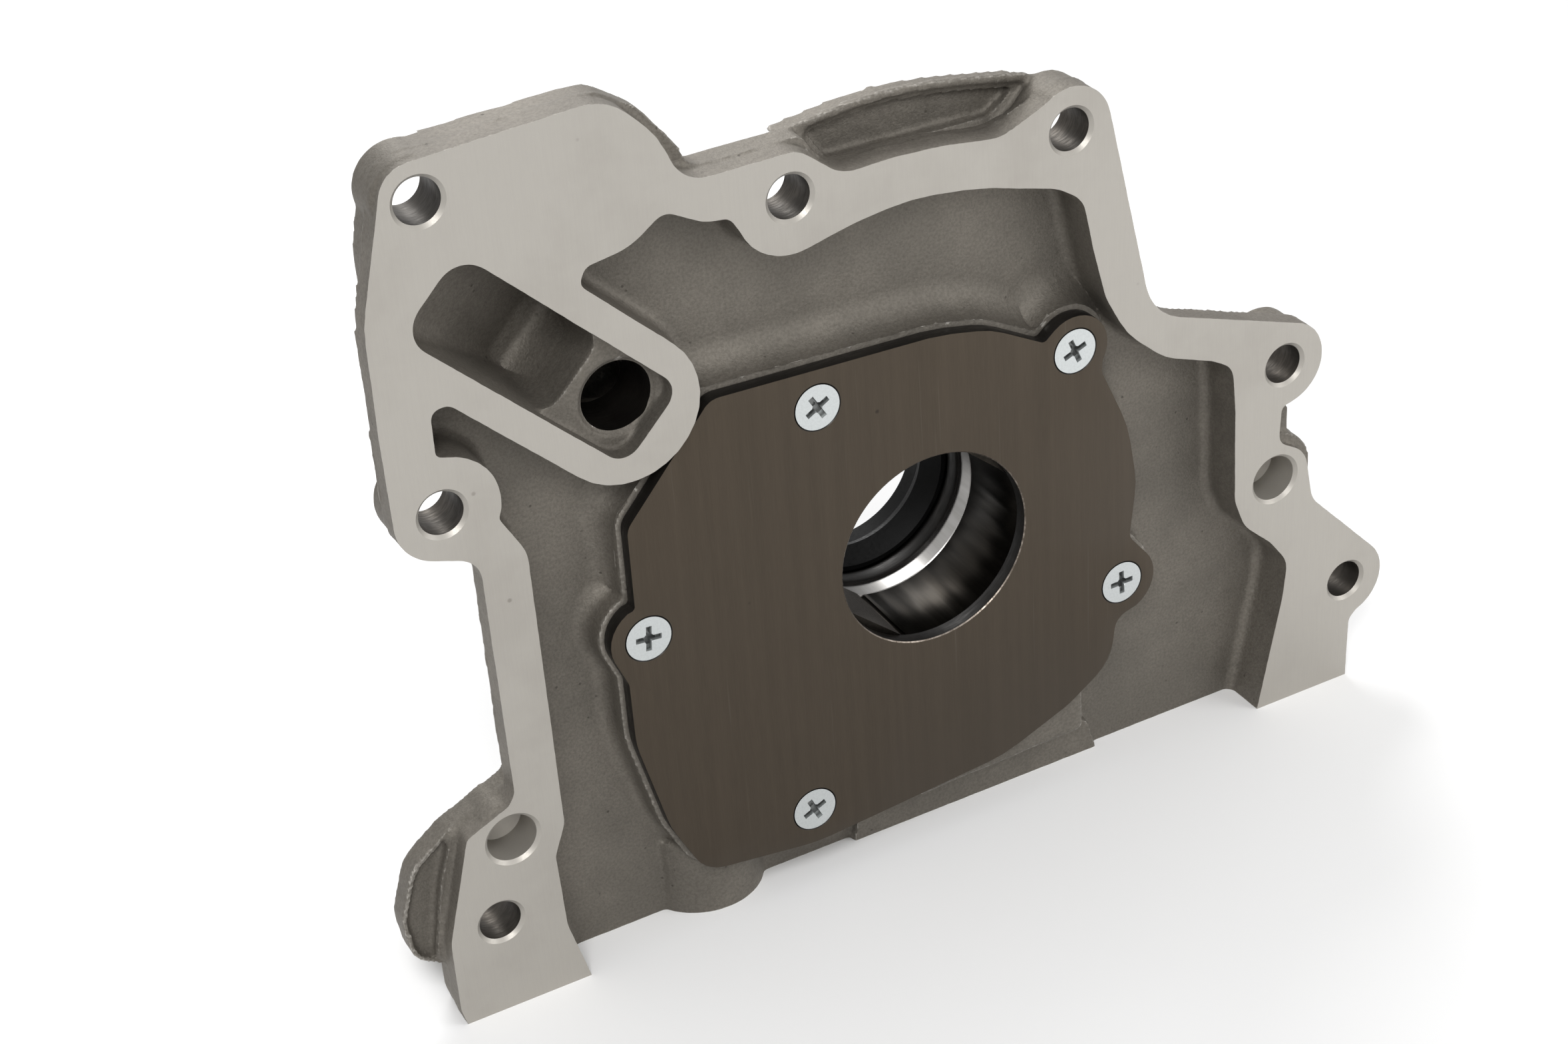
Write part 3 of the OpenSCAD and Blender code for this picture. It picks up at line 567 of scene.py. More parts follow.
@dataclass(frozen=True)
class RotorSteel(Finish):
    """Sintered rotor steel: dark polished bore, with satin driving flats."""

    mark: float = 0.000002
    flat: Color = srgb("6b6763")
    flat_turn: float = 49.0

    def build(self) -> bpy.types.Material:
        """Draws the film in the bore, and the flats where the surface faces their way.

        Returns:
            The material.
        """
        sheet = self.start()
        turn = math.radians(self.flat_turn)
        normal = sheet.node("ShaderNodeTexCoord").outputs["Normal"]
        way = (math.cos(turn), 0.0, math.sin(turn))
        facing = sheet.node("ShaderNodeVectorMath", {0: normal, 1: way}, operation="DOT_PRODUCT")
        flats = sheet.ramp(sheet.math("ABSOLUTE", facing.outputs["Value"]), 0.985, 0.998)
        streaks = sheet.noise(sheet.stretched(sheet.place, (1.0, 0.06, 1.0)), 700, 3, 0.55)
        color = sheet.mix(sheet.ramp(streaks, 0.4, 0.65, 0.0, 0.7), self.color, self.tone(0.6))
        fine = sheet.noise(sheet.place, 1800, 3, 0.6)
        satin = sheet.mix(sheet.ramp(fine, 0.35, 0.7, 0.0, 0.4), self.flat, self.color)
        gloss = sheet.ramp(flats, 0.0, 1.0, self.roughness, self.roughness + 0.18)
        return sheet.end(sheet.mix(flats, color, satin), gloss, fine, self.mark)


@dataclass(frozen=True)
class Rubber(Finish):
    """Smooth oily rubber."""

    mark: float = 0.00001
    specular: float = 0.3

    def build(self) -> bpy.types.Material:
        """Draws the fine unevenness of the oil film.

        Returns:
            The material.
        """
        sheet = self.start()
        fine = sheet.noise(sheet.place, 1800, 3)
        return sheet.end(None, self.gloss(sheet, fine, 0.05, 0.1), fine, self.mark)


class Finishes:
    """Every finish of the pump."""

    CAST = CastSkin("cast aluminium", srgb("736e66"), 0.6, 0.6)
    MILLED = MilledFace("milled aluminium", srgb("aaa69f"), 0.6, 0.45)
    DRILLED = Drilled("drilled aluminium", srgb("4d4842"), 0.8, 0.48)
    # Near-black wall: painted shade in bores, steps, plate walls and countersinks.
    PAINTED_SHADE = Drilled("dark wall in painted shade", srgb("1f1c19"), 0.5, 0.42)
    TURNED = Polished("turned journal", srgb("a09e9c"), 1.0, 0.28, 0.0000003, film=srgb("989693"),
                      spread=0.04)
    PLATE = GroundPlate("ground steel", srgb("423a30"), 0.7, 0.45)
    # Light ground steel for the chamfer of the large hole, partly a painted highlight.
    PLATE_EDGE = Polished("ground steel edge with painted highlight", srgb("8f867d"), 1.0, 0.3, film=srgb("5d554d"))
    ZINC = Plated("zinc plating", srgb("c8cccc"), 0.8, 0.36)
    # The screws' cross recesses get painted shade below 0.25 mm.
    SCREW = Plated("zinc screw", srgb("c8cccc"), 0.8, 0.36, shade_from=0.00025)
    ROTOR = RotorSteel("rotor steel", srgb("2a2723"), 1.0, 0.3)
    SLIDING = Polished("ground sliding steel", srgb("a9a6a2"), 1.0, 0.2)
    RUBBER = Rubber("seal rubber", srgb("0c0c0c"), 0.0, 0.5)
    SPRING = Polished("spring wire", srgb("85868a"), 1.0, 0.3)
    COPPER = Plated("copper washer", srgb("b87650"), 1.0, 0.36)


# Mesh helpers

def read(items: Sockets, key: str, kind: type, width: int = 1) -> np.ndarray:
    """Reads one property of all points, edges, corners or faces of a mesh.

    Args:
        items: the mesh's elements.
        key: the property.
        kind: its type.
        width: how many numbers each element has.

    Returns:
        The values, with one row for each element where the width is over 1.
    """
    values = np.zeros(len(items) * width, kind)
    items.foreach_get(key, values)
    return values if width == 1 else values.reshape(-1, width)


def one_slot(mesh: bpy.types.Mesh, slot: int = 0) -> None:
    """Puts every face of a mesh into one material slot."""
    mesh.polygons.foreach_set("material_index", np.full(len(mesh.polygons), slot, np.int32))


def new_object(name: str, vertices: Sequence[Sequence[float]],
               faces: Sequence[Sequence[int]]) -> bpy.types.Object:
    """Makes an object from points in millimetres.

    Args:
        name: its name.
        vertices: the points.
        faces: corner numbers of each face.

    Returns:
        The object, linked to the scene.
    """
    mesh = bpy.data.meshes.new(name)
    mesh.from_pydata([tuple(c * MM for c in v) for v in vertices], [], faces)
    mesh.update()
    obj = bpy.data.objects.new(name, mesh)
    bpy.context.scene.collection.objects.link(obj)
    return obj


def copied(node: str) -> bpy.types.Object:
    """Copies a CAD node, with every face in the first slot and no material."""
    mesh = frame["nodes"][node].data.copy()
    mesh.materials.clear()
    one_slot(mesh)
    solid = bpy.data.objects.new("solid", mesh)
    bpy.context.scene.collection.objects.link(solid)
    return solid


def turned(name: str, center: Sequence[float], profile: Profile, axis: Axis = Axis.Y,
           sides: int = 96, looks: Sequence[Enum] = ()) -> bpy.types.Object:
    """Makes a closed turned solid, as a drill or a boring bar leaves it.

    Args:
        name: its name.
        center: a point on its axis, in millimetres.
        profile: radius and place along the axis, from the low end to the high end.
        axis: the direction that it points along.
        sides: faces round the axis.
        looks: what each ring of faces leaves behind, from the low end up, with the last one for the end face.

    Returns:
        The solid.
    """
    points: list[tuple[float, float, float]] = []
    for radius, along in profile:
        for i in range(sides):
            a = 2 * math.pi * i / sides
            u, v = radius * math.cos(a), radius * math.sin(a)
            offset = {Axis.X: (along, u, v), Axis.Y: (v, along, u), Axis.Z: (u, v, along)}[axis]
            points.append(tuple(c + o for c, o in zip(center, offset)))
    faces = [list(range(sides))[::-1]]
    for ring in range(len(profile) - 1):
        base = ring * sides
        faces += [[base + i, base + (i + 1) % sides, base + sides + (i + 1) % sides, base + sides + i]
                  for i in range(sides)]
    top = (len(profile) - 1) * sides
    faces.append([top + i for i in range(sides)])
    made = new_object(name, points, faces)
    if looks:
        slots = [looks[0].value]
        for look in looks[:len(profile) - 1]:
            slots += [look.value] * sides
        made.data.polygons.foreach_set("material_index", slots + [looks[-1].value])
    return made


def block(name: str, low: Sequence[float], high: Sequence[float]) -> bpy.types.Object:
    """Makes a box that serves as a milling cutter.

    Args:
        name: its name.
        low: lowest corner in millimetres.
        high: highest corner.

    Returns:
        The box.
    """
    points = [(x, y, z) for x in (low[0], high[0]) for y in (low[1], high[1]) for z in (low[2], high[2])]
    faces = [[0, 1, 3, 2], [4, 6, 7, 5], [0, 4, 5, 1], [2, 3, 7, 6], [0, 2, 6, 4], [1, 5, 7, 3]]
    return new_object(name, points, faces)


def applied(obj: bpy.types.Object) -> None:
    """Bakes an object's modifiers into its mesh.

    Args:
        obj: the object, which ends up with no modifiers.
    """
    graph = bpy.context.evaluated_depsgraph_get()
    mesh = bpy.data.meshes.new_from_object(obj.evaluated_get(graph))
    old = obj.data
    obj.modifiers.clear()
    obj.data = mesh
    bpy.data.meshes.remove(old)


def remove(obj: bpy.types.Object) -> None:
    """Deletes an object and its mesh."""
    mesh = obj.data
    bpy.data.objects.remove(obj)
    bpy.data.meshes.remove(mesh)


def join(name: str, parts: Sequence[bpy.types.Object]) -> bpy.types.Object:
    """Joins separate solids into one object.

    Args:
        name: name of the result.
        parts: the solids, which are deleted.

    Returns:
        The joined object.
    """
    points: list[tuple[float, float, float]] = []
    faces: list[list[int]] = []
    slots: list[int] = []
    for part in parts:
        base = len(points)
        points += [tuple(c / MM for c in v.co) for v in part.data.vertices]
        faces += [[base + i for i in p.vertices] for p in part.data.polygons]
        slots += [p.material_index for p in part.data.polygons]
        remove(part)
    made = new_object(name, points, faces)
    made.data.polygons.foreach_set("material_index", slots)
    return made


def cut(obj: bpy.types.Object, tool: bpy.types.Object, look: Optional[Cut] = None) -> None:
    """Cuts a solid with another one.

    Args:
        obj: the solid that is cut.
        tool: the cutter, which is deleted.
        look: what the cut leaves behind, where the cutter's faces don't say it themselves.
    """
    if look:
        one_slot(tool.data, look.value)
    for material in obj.data.materials:
        tool.data.materials.append(material)
    modifier = obj.modifiers.new("cut", "BOOLEAN")
    modifier.operation = "DIFFERENCE"
    modifier.solver = "MANIFOLD"
    modifier.material_mode = "INDEX"
    modifier.object = tool
    applied(obj)
    remove(tool)


def shade(obj: bpy.types.Object, angle: float = 32.0) -> None:
    """Shades smoothly, with sharp edges at steep angles and where two finishes meet.

    Args:
        obj: the object.
        angle: degrees above which an edge is sharp.
    """
    mesh = obj.data
    mesh.polygons.foreach_set("use_smooth", np.ones(len(mesh.polygons), bool))
    mesh.set_sharp_from_angle(angle=math.radians(angle))
    slots = read(mesh.polygons, "material_index", np.int32)
    per_loop = np.repeat(slots, read(mesh.polygons, "loop_total", np.int32))
    edges = read(mesh.loops, "edge_index", np.int32)
    low = np.full(len(mesh.edges), 99, np.int32)
    high = np.full(len(mesh.edges), -1, np.int32)
    np.minimum.at(low, edges, per_loop)
    np.maximum.at(high, edges, per_loop)
    sharp = read(mesh.edges, "use_edge_sharp", bool)
    mesh.edges.foreach_set("use_edge_sharp", sharp | (low != high))
    mesh.update()


def points_of(mesh: bpy.types.Mesh) -> np.ndarray:
    """Returns a mesh's points in millimetres, one row each."""
    return read(mesh.vertices, "co", np.float32, 3) / MM


def set_points(mesh: bpy.types.Mesh, points: np.ndarray) -> None:
    """Writes points in millimetres back to a mesh."""
    mesh.vertices.foreach_set("co", (points * MM).astype(np.float32).ravel())
    mesh.update()


def uneven(points: np.ndarray, size: float) -> np.ndarray:
    """Returns soft lumps between about -1 and 1, the same on each run.

    Args:
        points: places in millimetres, one row each.
        size: distance between lumps in millimetres.

    Returns:
        One value for each place.
    """
    k = 2 * math.pi / size
    x, y, z = (points * k).T
    first = np.sin(0.81 * x + 0.43 * z + 1.3 * np.sin(0.37 * y + 0.52 * x))
    second = np.sin(0.77 * z - 0.39 * x + 1.1 * np.sin(0.61 * z + 0.47 * y) + 2.0)
    third = np.sin(0.93 * y + 0.31 * z - 0.41 * x + 1.2 * np.sin(0.29 * z) + 4.0)
    return (first + second + third) / 3


def weld(obj: bpy.types.Object) -> None:
    """Joins the points of an object that lie on top of each other."""
    obj.modifiers.new("weld", "WELD").merge_threshold = 2e-6


def break_edges(obj: bpy.types.Object, width: float, angle: float = 30.0) -> bpy.types.Modifier:
    """Welds an object and bevels its steep edges.

    Args:
        obj: the object.
        width: width of the bevel in millimetres.
        angle: edges steeper than this many degrees are bevelled.

    Returns:
        The bevel.
    """
    weld(obj)
    bevel = obj.modifiers.new("edge break", "BEVEL")
    bevel.width = width * MM
    bevel.segments = 2
    bevel.limit_method = "ANGLE"
    bevel.angle_limit = math.radians(angle)
    return bevel


def dress(node: str, finish: Finish, edge: float = 0.0) -> None:
    """Gives a CAD node a finish and broken edges, without touching its mesh.

    Args:
        node: the CAD node.
        finish: its finish.
        edge: width of the edge break in millimetres, or 0 for none.
    """
    obj = frame["nodes"][node]
    if not obj.data.materials:
        obj.data.materials.append(None)
    for place in obj.material_slots:
        place.material = finish.material()
    if edge:
        break_edges(obj, edge).harden_normals = True
    log.info("%s: %s", node, finish.name)


# Sub-assemblies

@dataclass
class Housing:
    """The cast housing with its machined faces and bores. Depths are along Y."""

    gasket_y: float = -0.5
    flange_back_y: float = 9.5
    parting_y: float = 4.5
    seat_y: float = 3.0
    seat_gap: float = 0.06
    sump_z: float = -69.0
    stock: float = 2.0
    back_stock: float = 1.2
    voxel: float = 0.5
    soft_passes: int = 2
    chamfer_depth: float = 0.7
    bolt_chamfer_r: float = 4.9
    bolt_names: tuple[str, ...] = ("bolt_top_left", "bolt_top_mid", "bolt_top_right", "bolt_right",
                                   "bolt_foot_right", "bolt_left", "bolt_foot_left")
    spot_face_r: tuple[float, ...] = (8.9, 7.4, 8.2, 9.8, 9.2, 10.0, 9.2)
    dowel_names: tuple[str, ...] = ("dowel_right", "dowel_left")
    dowel_chamfer_r: float = 5.7
    dowel_depth: float = 8.0
    dowel_point: float = 1.6
    screws: tuple[tuple[float, float], ...] = ((-61.3, 2.5), (-23.3, 39.0), (32.5, 33.0), (43.0, -23.7),
                                               (-30.0, -50.5))
    screw_r: float = 2.5
    screw_end_y: float = 16.0
    rotor_axis: tuple[float, float] = (2.1213, -2.1213)
    pocket_r: float = 37.9
    pocket_floor_y: float = 20.62
    journal_r: float = 20.8
    journal_end_y: float = 25.02
    shoulder_r: float = 19.9
    seal_y: float = 28.52
    seal_r: float = 23.5
    seal_boss_y: float = 41.02
    slot_drill: tuple[float, float, float] = (-60.72, 0, 51.85)
    slot_hole_r: float = 6.8
    slot_hole_y: tuple[float, float] = (4.3, 15.4)
    pickup: tuple[float, float, float] = (-46.0, 19.9, 0)
    pickup_r: float = 8.0
    pickup_top_z: float = -51.5
    sump_taps: tuple[float, ...] = (-93.0, -31.0, 31.0, 93.0)
    sump_tap_r: float = 2.5
    sump_tap_top_z: float = -56.0
    valve: tuple[float, float] = (23.52, 23.0)
    valve_end_x: float = -75.0
    valve_bore_r: float = 6.06
    valve_bore_end_x: float = -49.5
    valve_thread_r: float = 7.5
    valve_thread_x: float = -69.5
    valve_face_r: float = 11.0
    fill_wall: float = 0.7
    floor_y: float = 9.4
    seat_margin: float = 1.0
    cove_z: tuple[float, ...] = (-45.0, -30.0, 5.0, 35.0)
    cove_r: tuple[float, ...] = (0.0, 3.0, 3.0, 6.2)
    slot_mid: tuple[float, float] = (-74.9, 64.9)
    slot_half: tuple[float, float] = (26.35, 8.5)
    slot_depth_y: float = 19.5
    trough_end: float = 9.35
    trough_y: float = 4.6
    trough_round: float = 4.5
    slot_wall: float = 0.6
    flash_half: float = 0.75
    flash_height: float = 0.22
    lump: float = 0.03
    thread_pitch: float = 1.0
    thread_depth: float = 0.45

    def mount(self, name: str) -> dict:
        """Returns one of the record's mounts."""
        return next(m for m in frame["record"]["mounts"] if m["name"] == name)

    def center(self, name: str) -> tuple[float, float, float]:
        """Returns a mount's X and Z in millimetres, with Y at 0."""
        place = self.mount(name)["pos_m"]
        return place[0] / MM, 0.0, place[2] / MM

    def with_stock(self, points: np.ndarray) -> np.ndarray:
        """Moves the faces that get machined outwards by the machining stock.

        Args:
            points: the solid's points in millimetres.

        Returns:
            The moved points.
        """
        points[points[:, 1] < self.gasket_y + TOUCH, 1] -= self.stock
        points[points[:, 2] < self.sump_z + TOUCH, 2] -= self.stock
        points[points[:, 1] > self.seal_boss_y - TOUCH, 1] += self.stock
        points[np.abs(points[:, 1] - self.seat_y) < TOUCH, 1] += self.seat_gap
        back = np.abs(points[:, 1] - self.flange_back_y) < TOUCH
        for name, radius in zip(self.bolt_names, self.spot_face_r):
            x, _, z = self.center(name)
            near = np.hypot(points[:, 0] - x, points[:, 2] - z) < radius + 0.05
            points[back & near, 1] += self.back_stock
        end = np.abs(points[:, 0] - self.valve_end_x) < TOUCH
        near = np.hypot(points[:, 1] - self.valve[0], points[:, 2] - self.valve[1]) < self.valve_face_r
        points[end & near, 0] -= self.back_stock
        return points

    def fillers(self) -> list[bpy.types.Object]:
        """Returns solids that close the drilled holes, as they are in the raw casting."""
        low, wall = self.gasket_y - self.stock, self.fill_wall
        sump = self.sump_z - self.stock
        rods = [(self.center(name), self.bolt_chamfer_r, low, self.flange_back_y + 1, Axis.Y)
                for name in self.bolt_names]
        rods += [(self.center(name), self.dowel_chamfer_r, low, self.gasket_y + self.dowel_depth + 1, Axis.Y)
                 for name in self.dowel_names]
        rods += [((x, 0, z), self.screw_r, self.seat_y + 0.3, self.screw_end_y + 0.5, Axis.Y)
                 for x, z in self.screws]
        boss = self.seal_boss_y + self.stock
        rods += [((0, 0, 0), self.seal_r + 0.5, self.pocket_floor_y + 0.1, boss, Axis.Y),
                 (self.slot_drill, self.slot_hole_r, *self.slot_hole_y, Axis.Y),
                 (self.pickup, self.pickup_r, sump, self.pickup_top_z, Axis.Z)]
        rods += [((x, self.pickup[1], 0), self.sump_tap_r, sump, self.sump_tap_top_z + 0.5, Axis.Z)
                 for x in self.sump_taps]
        rods.append(((0, *self.valve), self.valve_thread_r, self.valve_end_x - self.back_stock,
                     self.valve_thread_x + 9, Axis.X))
        return [turned("filler", center, [(radius + wall, start), (radius + wall, end)], axis)
                for center, radius, start, end, axis in rods]

    def raw_casting(self) -> bpy.types.Object:
        """Copies the CAD solid, closes its holes, adds stock and softens it like a casting.

        Returns:
            The casting before it is machined.
        """
        solid = copied("pump_housing")
        set_points(solid.data, self.with_stock(points_of(solid.data)))
        casting = join("cast_body", [solid, *self.fillers()])
        for finish in (Finishes.CAST, Finishes.MILLED, Finishes.DRILLED, Finishes.TURNED, Finishes.PAINTED_SHADE):
            casting.data.materials.append(finish.material())
        weld(casting)
        remesh = casting.modifiers.new("skin", "REMESH")
        remesh.mode = "VOXEL"
        remesh.voxel_size = self.voxel * MM
        soft = casting.modifiers.new("soft edges", "SMOOTH")
        soft.factor = 0.5
        soft.iterations = self.soft_passes
        applied(casting)
        one_slot(casting.data)
        return casting

    def plate_outline(self) -> list[tuple[np.ndarray, np.ndarray, np.ndarray]]:
        """Reads the cover plate's outer edge from the frame.

        Returns:
            Start, end and outward direction of each straight piece, in the XZ plane.
        """
        mesh = frame["nodes"]["rotor_cover_plate"].data
        points = points_of(mesh)
        found: list[tuple[np.ndarray, np.ndarray, np.ndarray]] = []
        for side in mesh.polygons:
            ring = list(side.vertices)
            for a, b in zip(ring, ring[1:] + ring[:1]):
                x, y, z = (points[a] + points[b]) / 2
                holes = [math.hypot(x - hx, z - hz) < 2 * self.screw_r for hx, hz in self.screws]
                in_hole = any(holes) or math.hypot(x, z) < self.journal_r + 1
                if abs(side.normal.y) < 0.5 and not in_hole and y > self.seat_y - 0.02:
                    found.append((points[a, ::2], points[b, ::2], np.array([side.normal.x, side.normal.z])))
        return found

    def cove(self, casting: bpy.types.Object) -> None:
        """Lets the cast floor rise in a round fillet to the seat of the cover plate.

        Args:
            casting: the raw casting.
        """
        points = points_of(casting.data)
        radius = np.interp(points[:, 2], self.cove_z, self.cove_r)
        deep = (points[:, 1] > self.seat_y + 0.15) & (points[:, 1] < self.floor_y + 0.08)
        chosen = np.nonzero(deep & (radius > 0.1))[0]
        flat = points[chosen][:, ::2]
        gap = np.full(len(chosen), 99.0)
        outside = np.zeros(len(chosen), bool)
        for start, end, way in self.plate_outline():
            along = end - start
            share = np.clip((flat - start) @ along / max(along @ along, 1e-9), 0, 1)
            off = flat - start - share[:, None] * along
            length = np.hypot(off[:, 0], off[:, 1])
            nearer = length < gap
            gap[nearer] = length[nearer]
            outside[nearer] = (off @ way)[nearer] > 0
        radius = radius[chosen]
        room = np.clip(self.seat_margin + radius - gap, 0, radius)
        height = np.minimum(points[chosen, 1], self.floor_y - radius + np.sqrt(radius ** 2 - room ** 2))
        points[chosen, 1] = np.where(outside, height, points[chosen, 1])
        set_points(casting.data, points)

    def round_slot(self, casting: bpy.types.Object) -> None:
        """Rounds the bottom of the discharge slot where its slope meets the steep wall by the drilled hole.

        Args:
            casting: the raw casting.
        """
        points = points_of(casting.data)
        off = points[:, ::2] - np.array(self.slot_mid)
        diagonal = math.sqrt(0.5)
        along, across = (off[:, 0] - off[:, 1]) * diagonal, (off[:, 0] + off[:, 1]) * diagonal
        length, width = self.slot_half
        inside = (np.abs(across) < width + self.slot_wall) & (along > -length - self.slot_wall)
        inside &= along < self.trough_end + self.slot_wall
        inside &= (points[:, 1] > self.trough_y) & (points[:, 1] < self.slot_depth_y + 0.3)
        run = np.clip((self.trough_end - along) / self.trough_round, 0.0, 1.0)
        bowl = self.trough_y + (self.slot_depth_y - self.trough_y) * np.sqrt(1 - (1 - run) ** 2)
        points[inside, 1] = np.minimum(points[inside, 1], bowl[inside])
        set_points(casting.data, points)

    def flash(self, casting: bpy.types.Object) -> None:
        """Raises the broken line of flash where the two halves of the mould met, and makes the skin uneven.

        Args:
            casting: the raw casting.
        """
        mesh = casting.data
        points = points_of(mesh)
        normals = read(mesh.vertices, "normal", np.float32, 3)
        lumps = uneven(points, 9.0) * self.lump + uneven(points, 2.3) * self.lump - self.lump
        low, high = (np.array(c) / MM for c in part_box("pump_housing"))
        near = np.abs(points[:, 1] - self.parting_y) < self.flash_half
        side = near & (np.abs(normals[:, 1]) < 0.75)
        solid = frame["nodes"]["pump_housing"].data
        faces = [tuple(p.vertices) for p in solid.polygons]
        tree = BVHTree.FromPolygons([tuple(p) for p in points_of(solid)], faces)
        raised = np.zeros(len(points))
        for i in np.nonzero(side)[0]:
            way = Vector((normals[i, 0], 0, normals[i, 2])).normalized()
            start = Vector(points[i]) + way * 1.5
            if tree.ray_cast(start, way, 120)[0] is None:
                raised[i] = 1 - abs(points[i, 1] - self.parting_y) / self.flash_half
        broken = np.clip(uneven(points, 6.0) + 0.5 * uneven(points, 1.7) + 0.35, 0, 1)
        points += normals * (lumps + raised * broken * self.flash_height)[:, None]
        free = np.array([[low[0], low[1] - 9, low[2] - 9], [high[0], high[1] + 9, high[2]]])
        set_points(mesh, np.clip(points, free[0], free[1]))

    def mill(self, casting: bpy.types.Object) -> None:
        """Mills the gasket face, the sump face, the back of the seal boss and the end of the valve barrel."""
        y, z = self.valve
        end = self.valve_end_x
        for low, high in (((-200, -60, -200), (200, self.gasket_y, 200)),
                          ((-200, -60, -200), (200, 90, self.sump_z)),
                          ((-80, self.seal_boss_y, -80), (80, 90, 80)),
                          ((end - 5, y - 9, z - 12), (end, y + 12, z + 12))):
            cut(casting, block("mill", low, high), Cut.MILLED)

    def drill(self, casting: bpy.types.Object) -> None:
        """Drills every hole again, with clean walls and chamfers."""
        milled, drilled, back = Cut.MILLED, Cut.DRILLED, self.flange_back_y
        wall = (milled, milled, drilled, milled, milled, milled)
        holes = []
        for name, spot in zip(self.bolt_names, self.spot_face_r):
            profile = [*self.mouth(name, self.bolt_chamfer_r, back), (spot, back), (spot, back + 4)]
            holes.append((self.center(name), profile, Axis.Y, 96, wall))
        end = self.gasket_y + self.dowel_depth
        point = (0.1, end + self.dowel_point)
        holes += [(self.center(name), [*self.mouth(name, self.dowel_chamfer_r, end), point],
                   Axis.Y, 96, (milled,) * 5) for name in self.dowel_names]
        holes += [((x, 0, z), [(self.screw_r, self.seat_y - 1), (self.screw_r, self.screw_end_y)],
                   Axis.Y, 96, (drilled, drilled)) for x, z in self.screws]
        profile = [(self.slot_hole_r, self.gasket_y), (self.slot_hole_r, self.slot_hole_y[1] + 7)]
        # The slot's drilled hole gets the near-black wall: painted shade inside it.
        holes.append((self.slot_drill, profile, Axis.Y, 96, (Cut.PAINTED_SHADE, Cut.PAINTED_SHADE)))
        profile = [(self.pickup_r + 1.5, self.sump_z - 1), (self.pickup_r + 0.5, self.sump_z),
                   (self.pickup_r, self.sump_z + 0.5), (self.pickup_r, self.pickup_top_z + 8)]
        holes.append((self.pickup, profile, Axis.Z, 96, (milled, milled, drilled, drilled)))
        profile = self.thread(self.sump_tap_r, self.sump_z, self.sump_tap_top_z)
        for x in self.sump_taps:
            holes.append(((x, self.pickup[1], 0), profile, Axis.Z, 48, (drilled,) * len(profile)))
        thread, bore, shoulder = self.valve_thread_r, self.valve_bore_r, self.valve_thread_x
        profile = [(thread, self.valve_end_x - 3), (thread, shoulder), (bore, shoulder),
                   (bore, self.valve_bore_end_x)]
        holes.append(((0, *self.valve), profile, Axis.X, 96, (drilled, drilled, Cut.TURNED, Cut.TURNED)))
        cut(casting, join("drills", [turned("drill", *hole) for hole in holes]))

    def mouth(self, name: str, chamfer: float, end: float) -> list[tuple[float, float]]:
        """Returns the profile of a mount's hole from its chamfer in the gasket face inwards.

        Args:
            name: the mount, which gives the hole's radius.
            chamfer: radius of the chamfer in the gasket face.
            end: place of the straight wall's end.

        Returns:
            Radius and place along Y.
        """
        radius = self.mount(name)["dims"]["r_mm"]
        return [(chamfer + 1, self.gasket_y - 1), (chamfer, self.gasket_y),
                (radius, self.gasket_y + self.chamfer_depth), (radius, end)]

    def thread(self, radius: float, mouth: float, end: float) -> list[tuple[float, float]]:
        """Returns the profile of a tapped hole, with one groove for each turn of the thread.

        Args:
            radius: radius of the tap drill.
            mouth: place of the hole's mouth.
            end: place of the hole's end.

        Returns:
            Radius and place along the axis, from the mouth inwards.
        """
        start = mouth + 0.3
        profile = [(radius + 1.4, mouth - 1), (radius + 0.5, mouth)]
        turns = int((end - mouth) / self.thread_pitch) - 2
        for i in range(turns):
            at = start + i * self.thread_pitch
            profile += [(radius, at), (radius + self.thread_depth, at + self.thread_pitch / 2)]
        return profile + [(radius, start + turns * self.thread_pitch), (radius, end)]

    def bore(self, casting: bpy.types.Object) -> None:
        """Bores the rotor pocket, the journal and the seat of the seal."""
        floor, lip, seal = self.pocket_floor_y, self.shoulder_r, self.seal_r
        pocket = turned("pocket", (self.rotor_axis[0], 0, self.rotor_axis[1]),
                        [(self.pocket_r, self.seat_y - 0.4), (self.pocket_r, floor)], sides=160,
                        looks=(Cut.TURNED, Cut.TURNED))
        journal, step, end = self.journal_r, self.journal_end_y, self.seal_boss_y
        profile = [(journal + 0.4, floor - 0.6), (journal + 0.4, floor), (journal, floor + 0.4),
                   (journal, step), (lip + 0.3, step), (lip, step + 0.5), (lip, self.seal_y), (seal, self.seal_y),
                   (seal, end - 1.2), (seal + 1.2, end), (seal + 1.2, end + 3)]
        # The step behind the journal, its chamfer and the shoulder bore get the near-black wall: painted shade.
        looks = (Cut.TURNED, Cut.TURNED, Cut.TURNED, Cut.PAINTED_SHADE, Cut.PAINTED_SHADE, Cut.PAINTED_SHADE, Cut.DRILLED, Cut.MILLED,
                 Cut.MILLED, Cut.MILLED, Cut.MILLED)
        cut(casting, pocket)
        cut(casting, turned("journal", (0, 0, 0), profile, sides=160, looks=looks))

    def build(self) -> None:
        """Builds the casting, machines it and lets it stand for the CAD node."""
        casting = self.raw_casting()
        self.cove(casting)
        self.round_slot(casting)
        self.flash(casting)
        log.info("raw casting: %d faces", len(casting.data.polygons))
        self.mill(casting)
        self.bore(casting)
        self.drill(casting)
        shade(casting)
        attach(casting, "housing")
        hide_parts("pump_housing")
        log.info("housing: %d faces", len(casting.data.polygons))


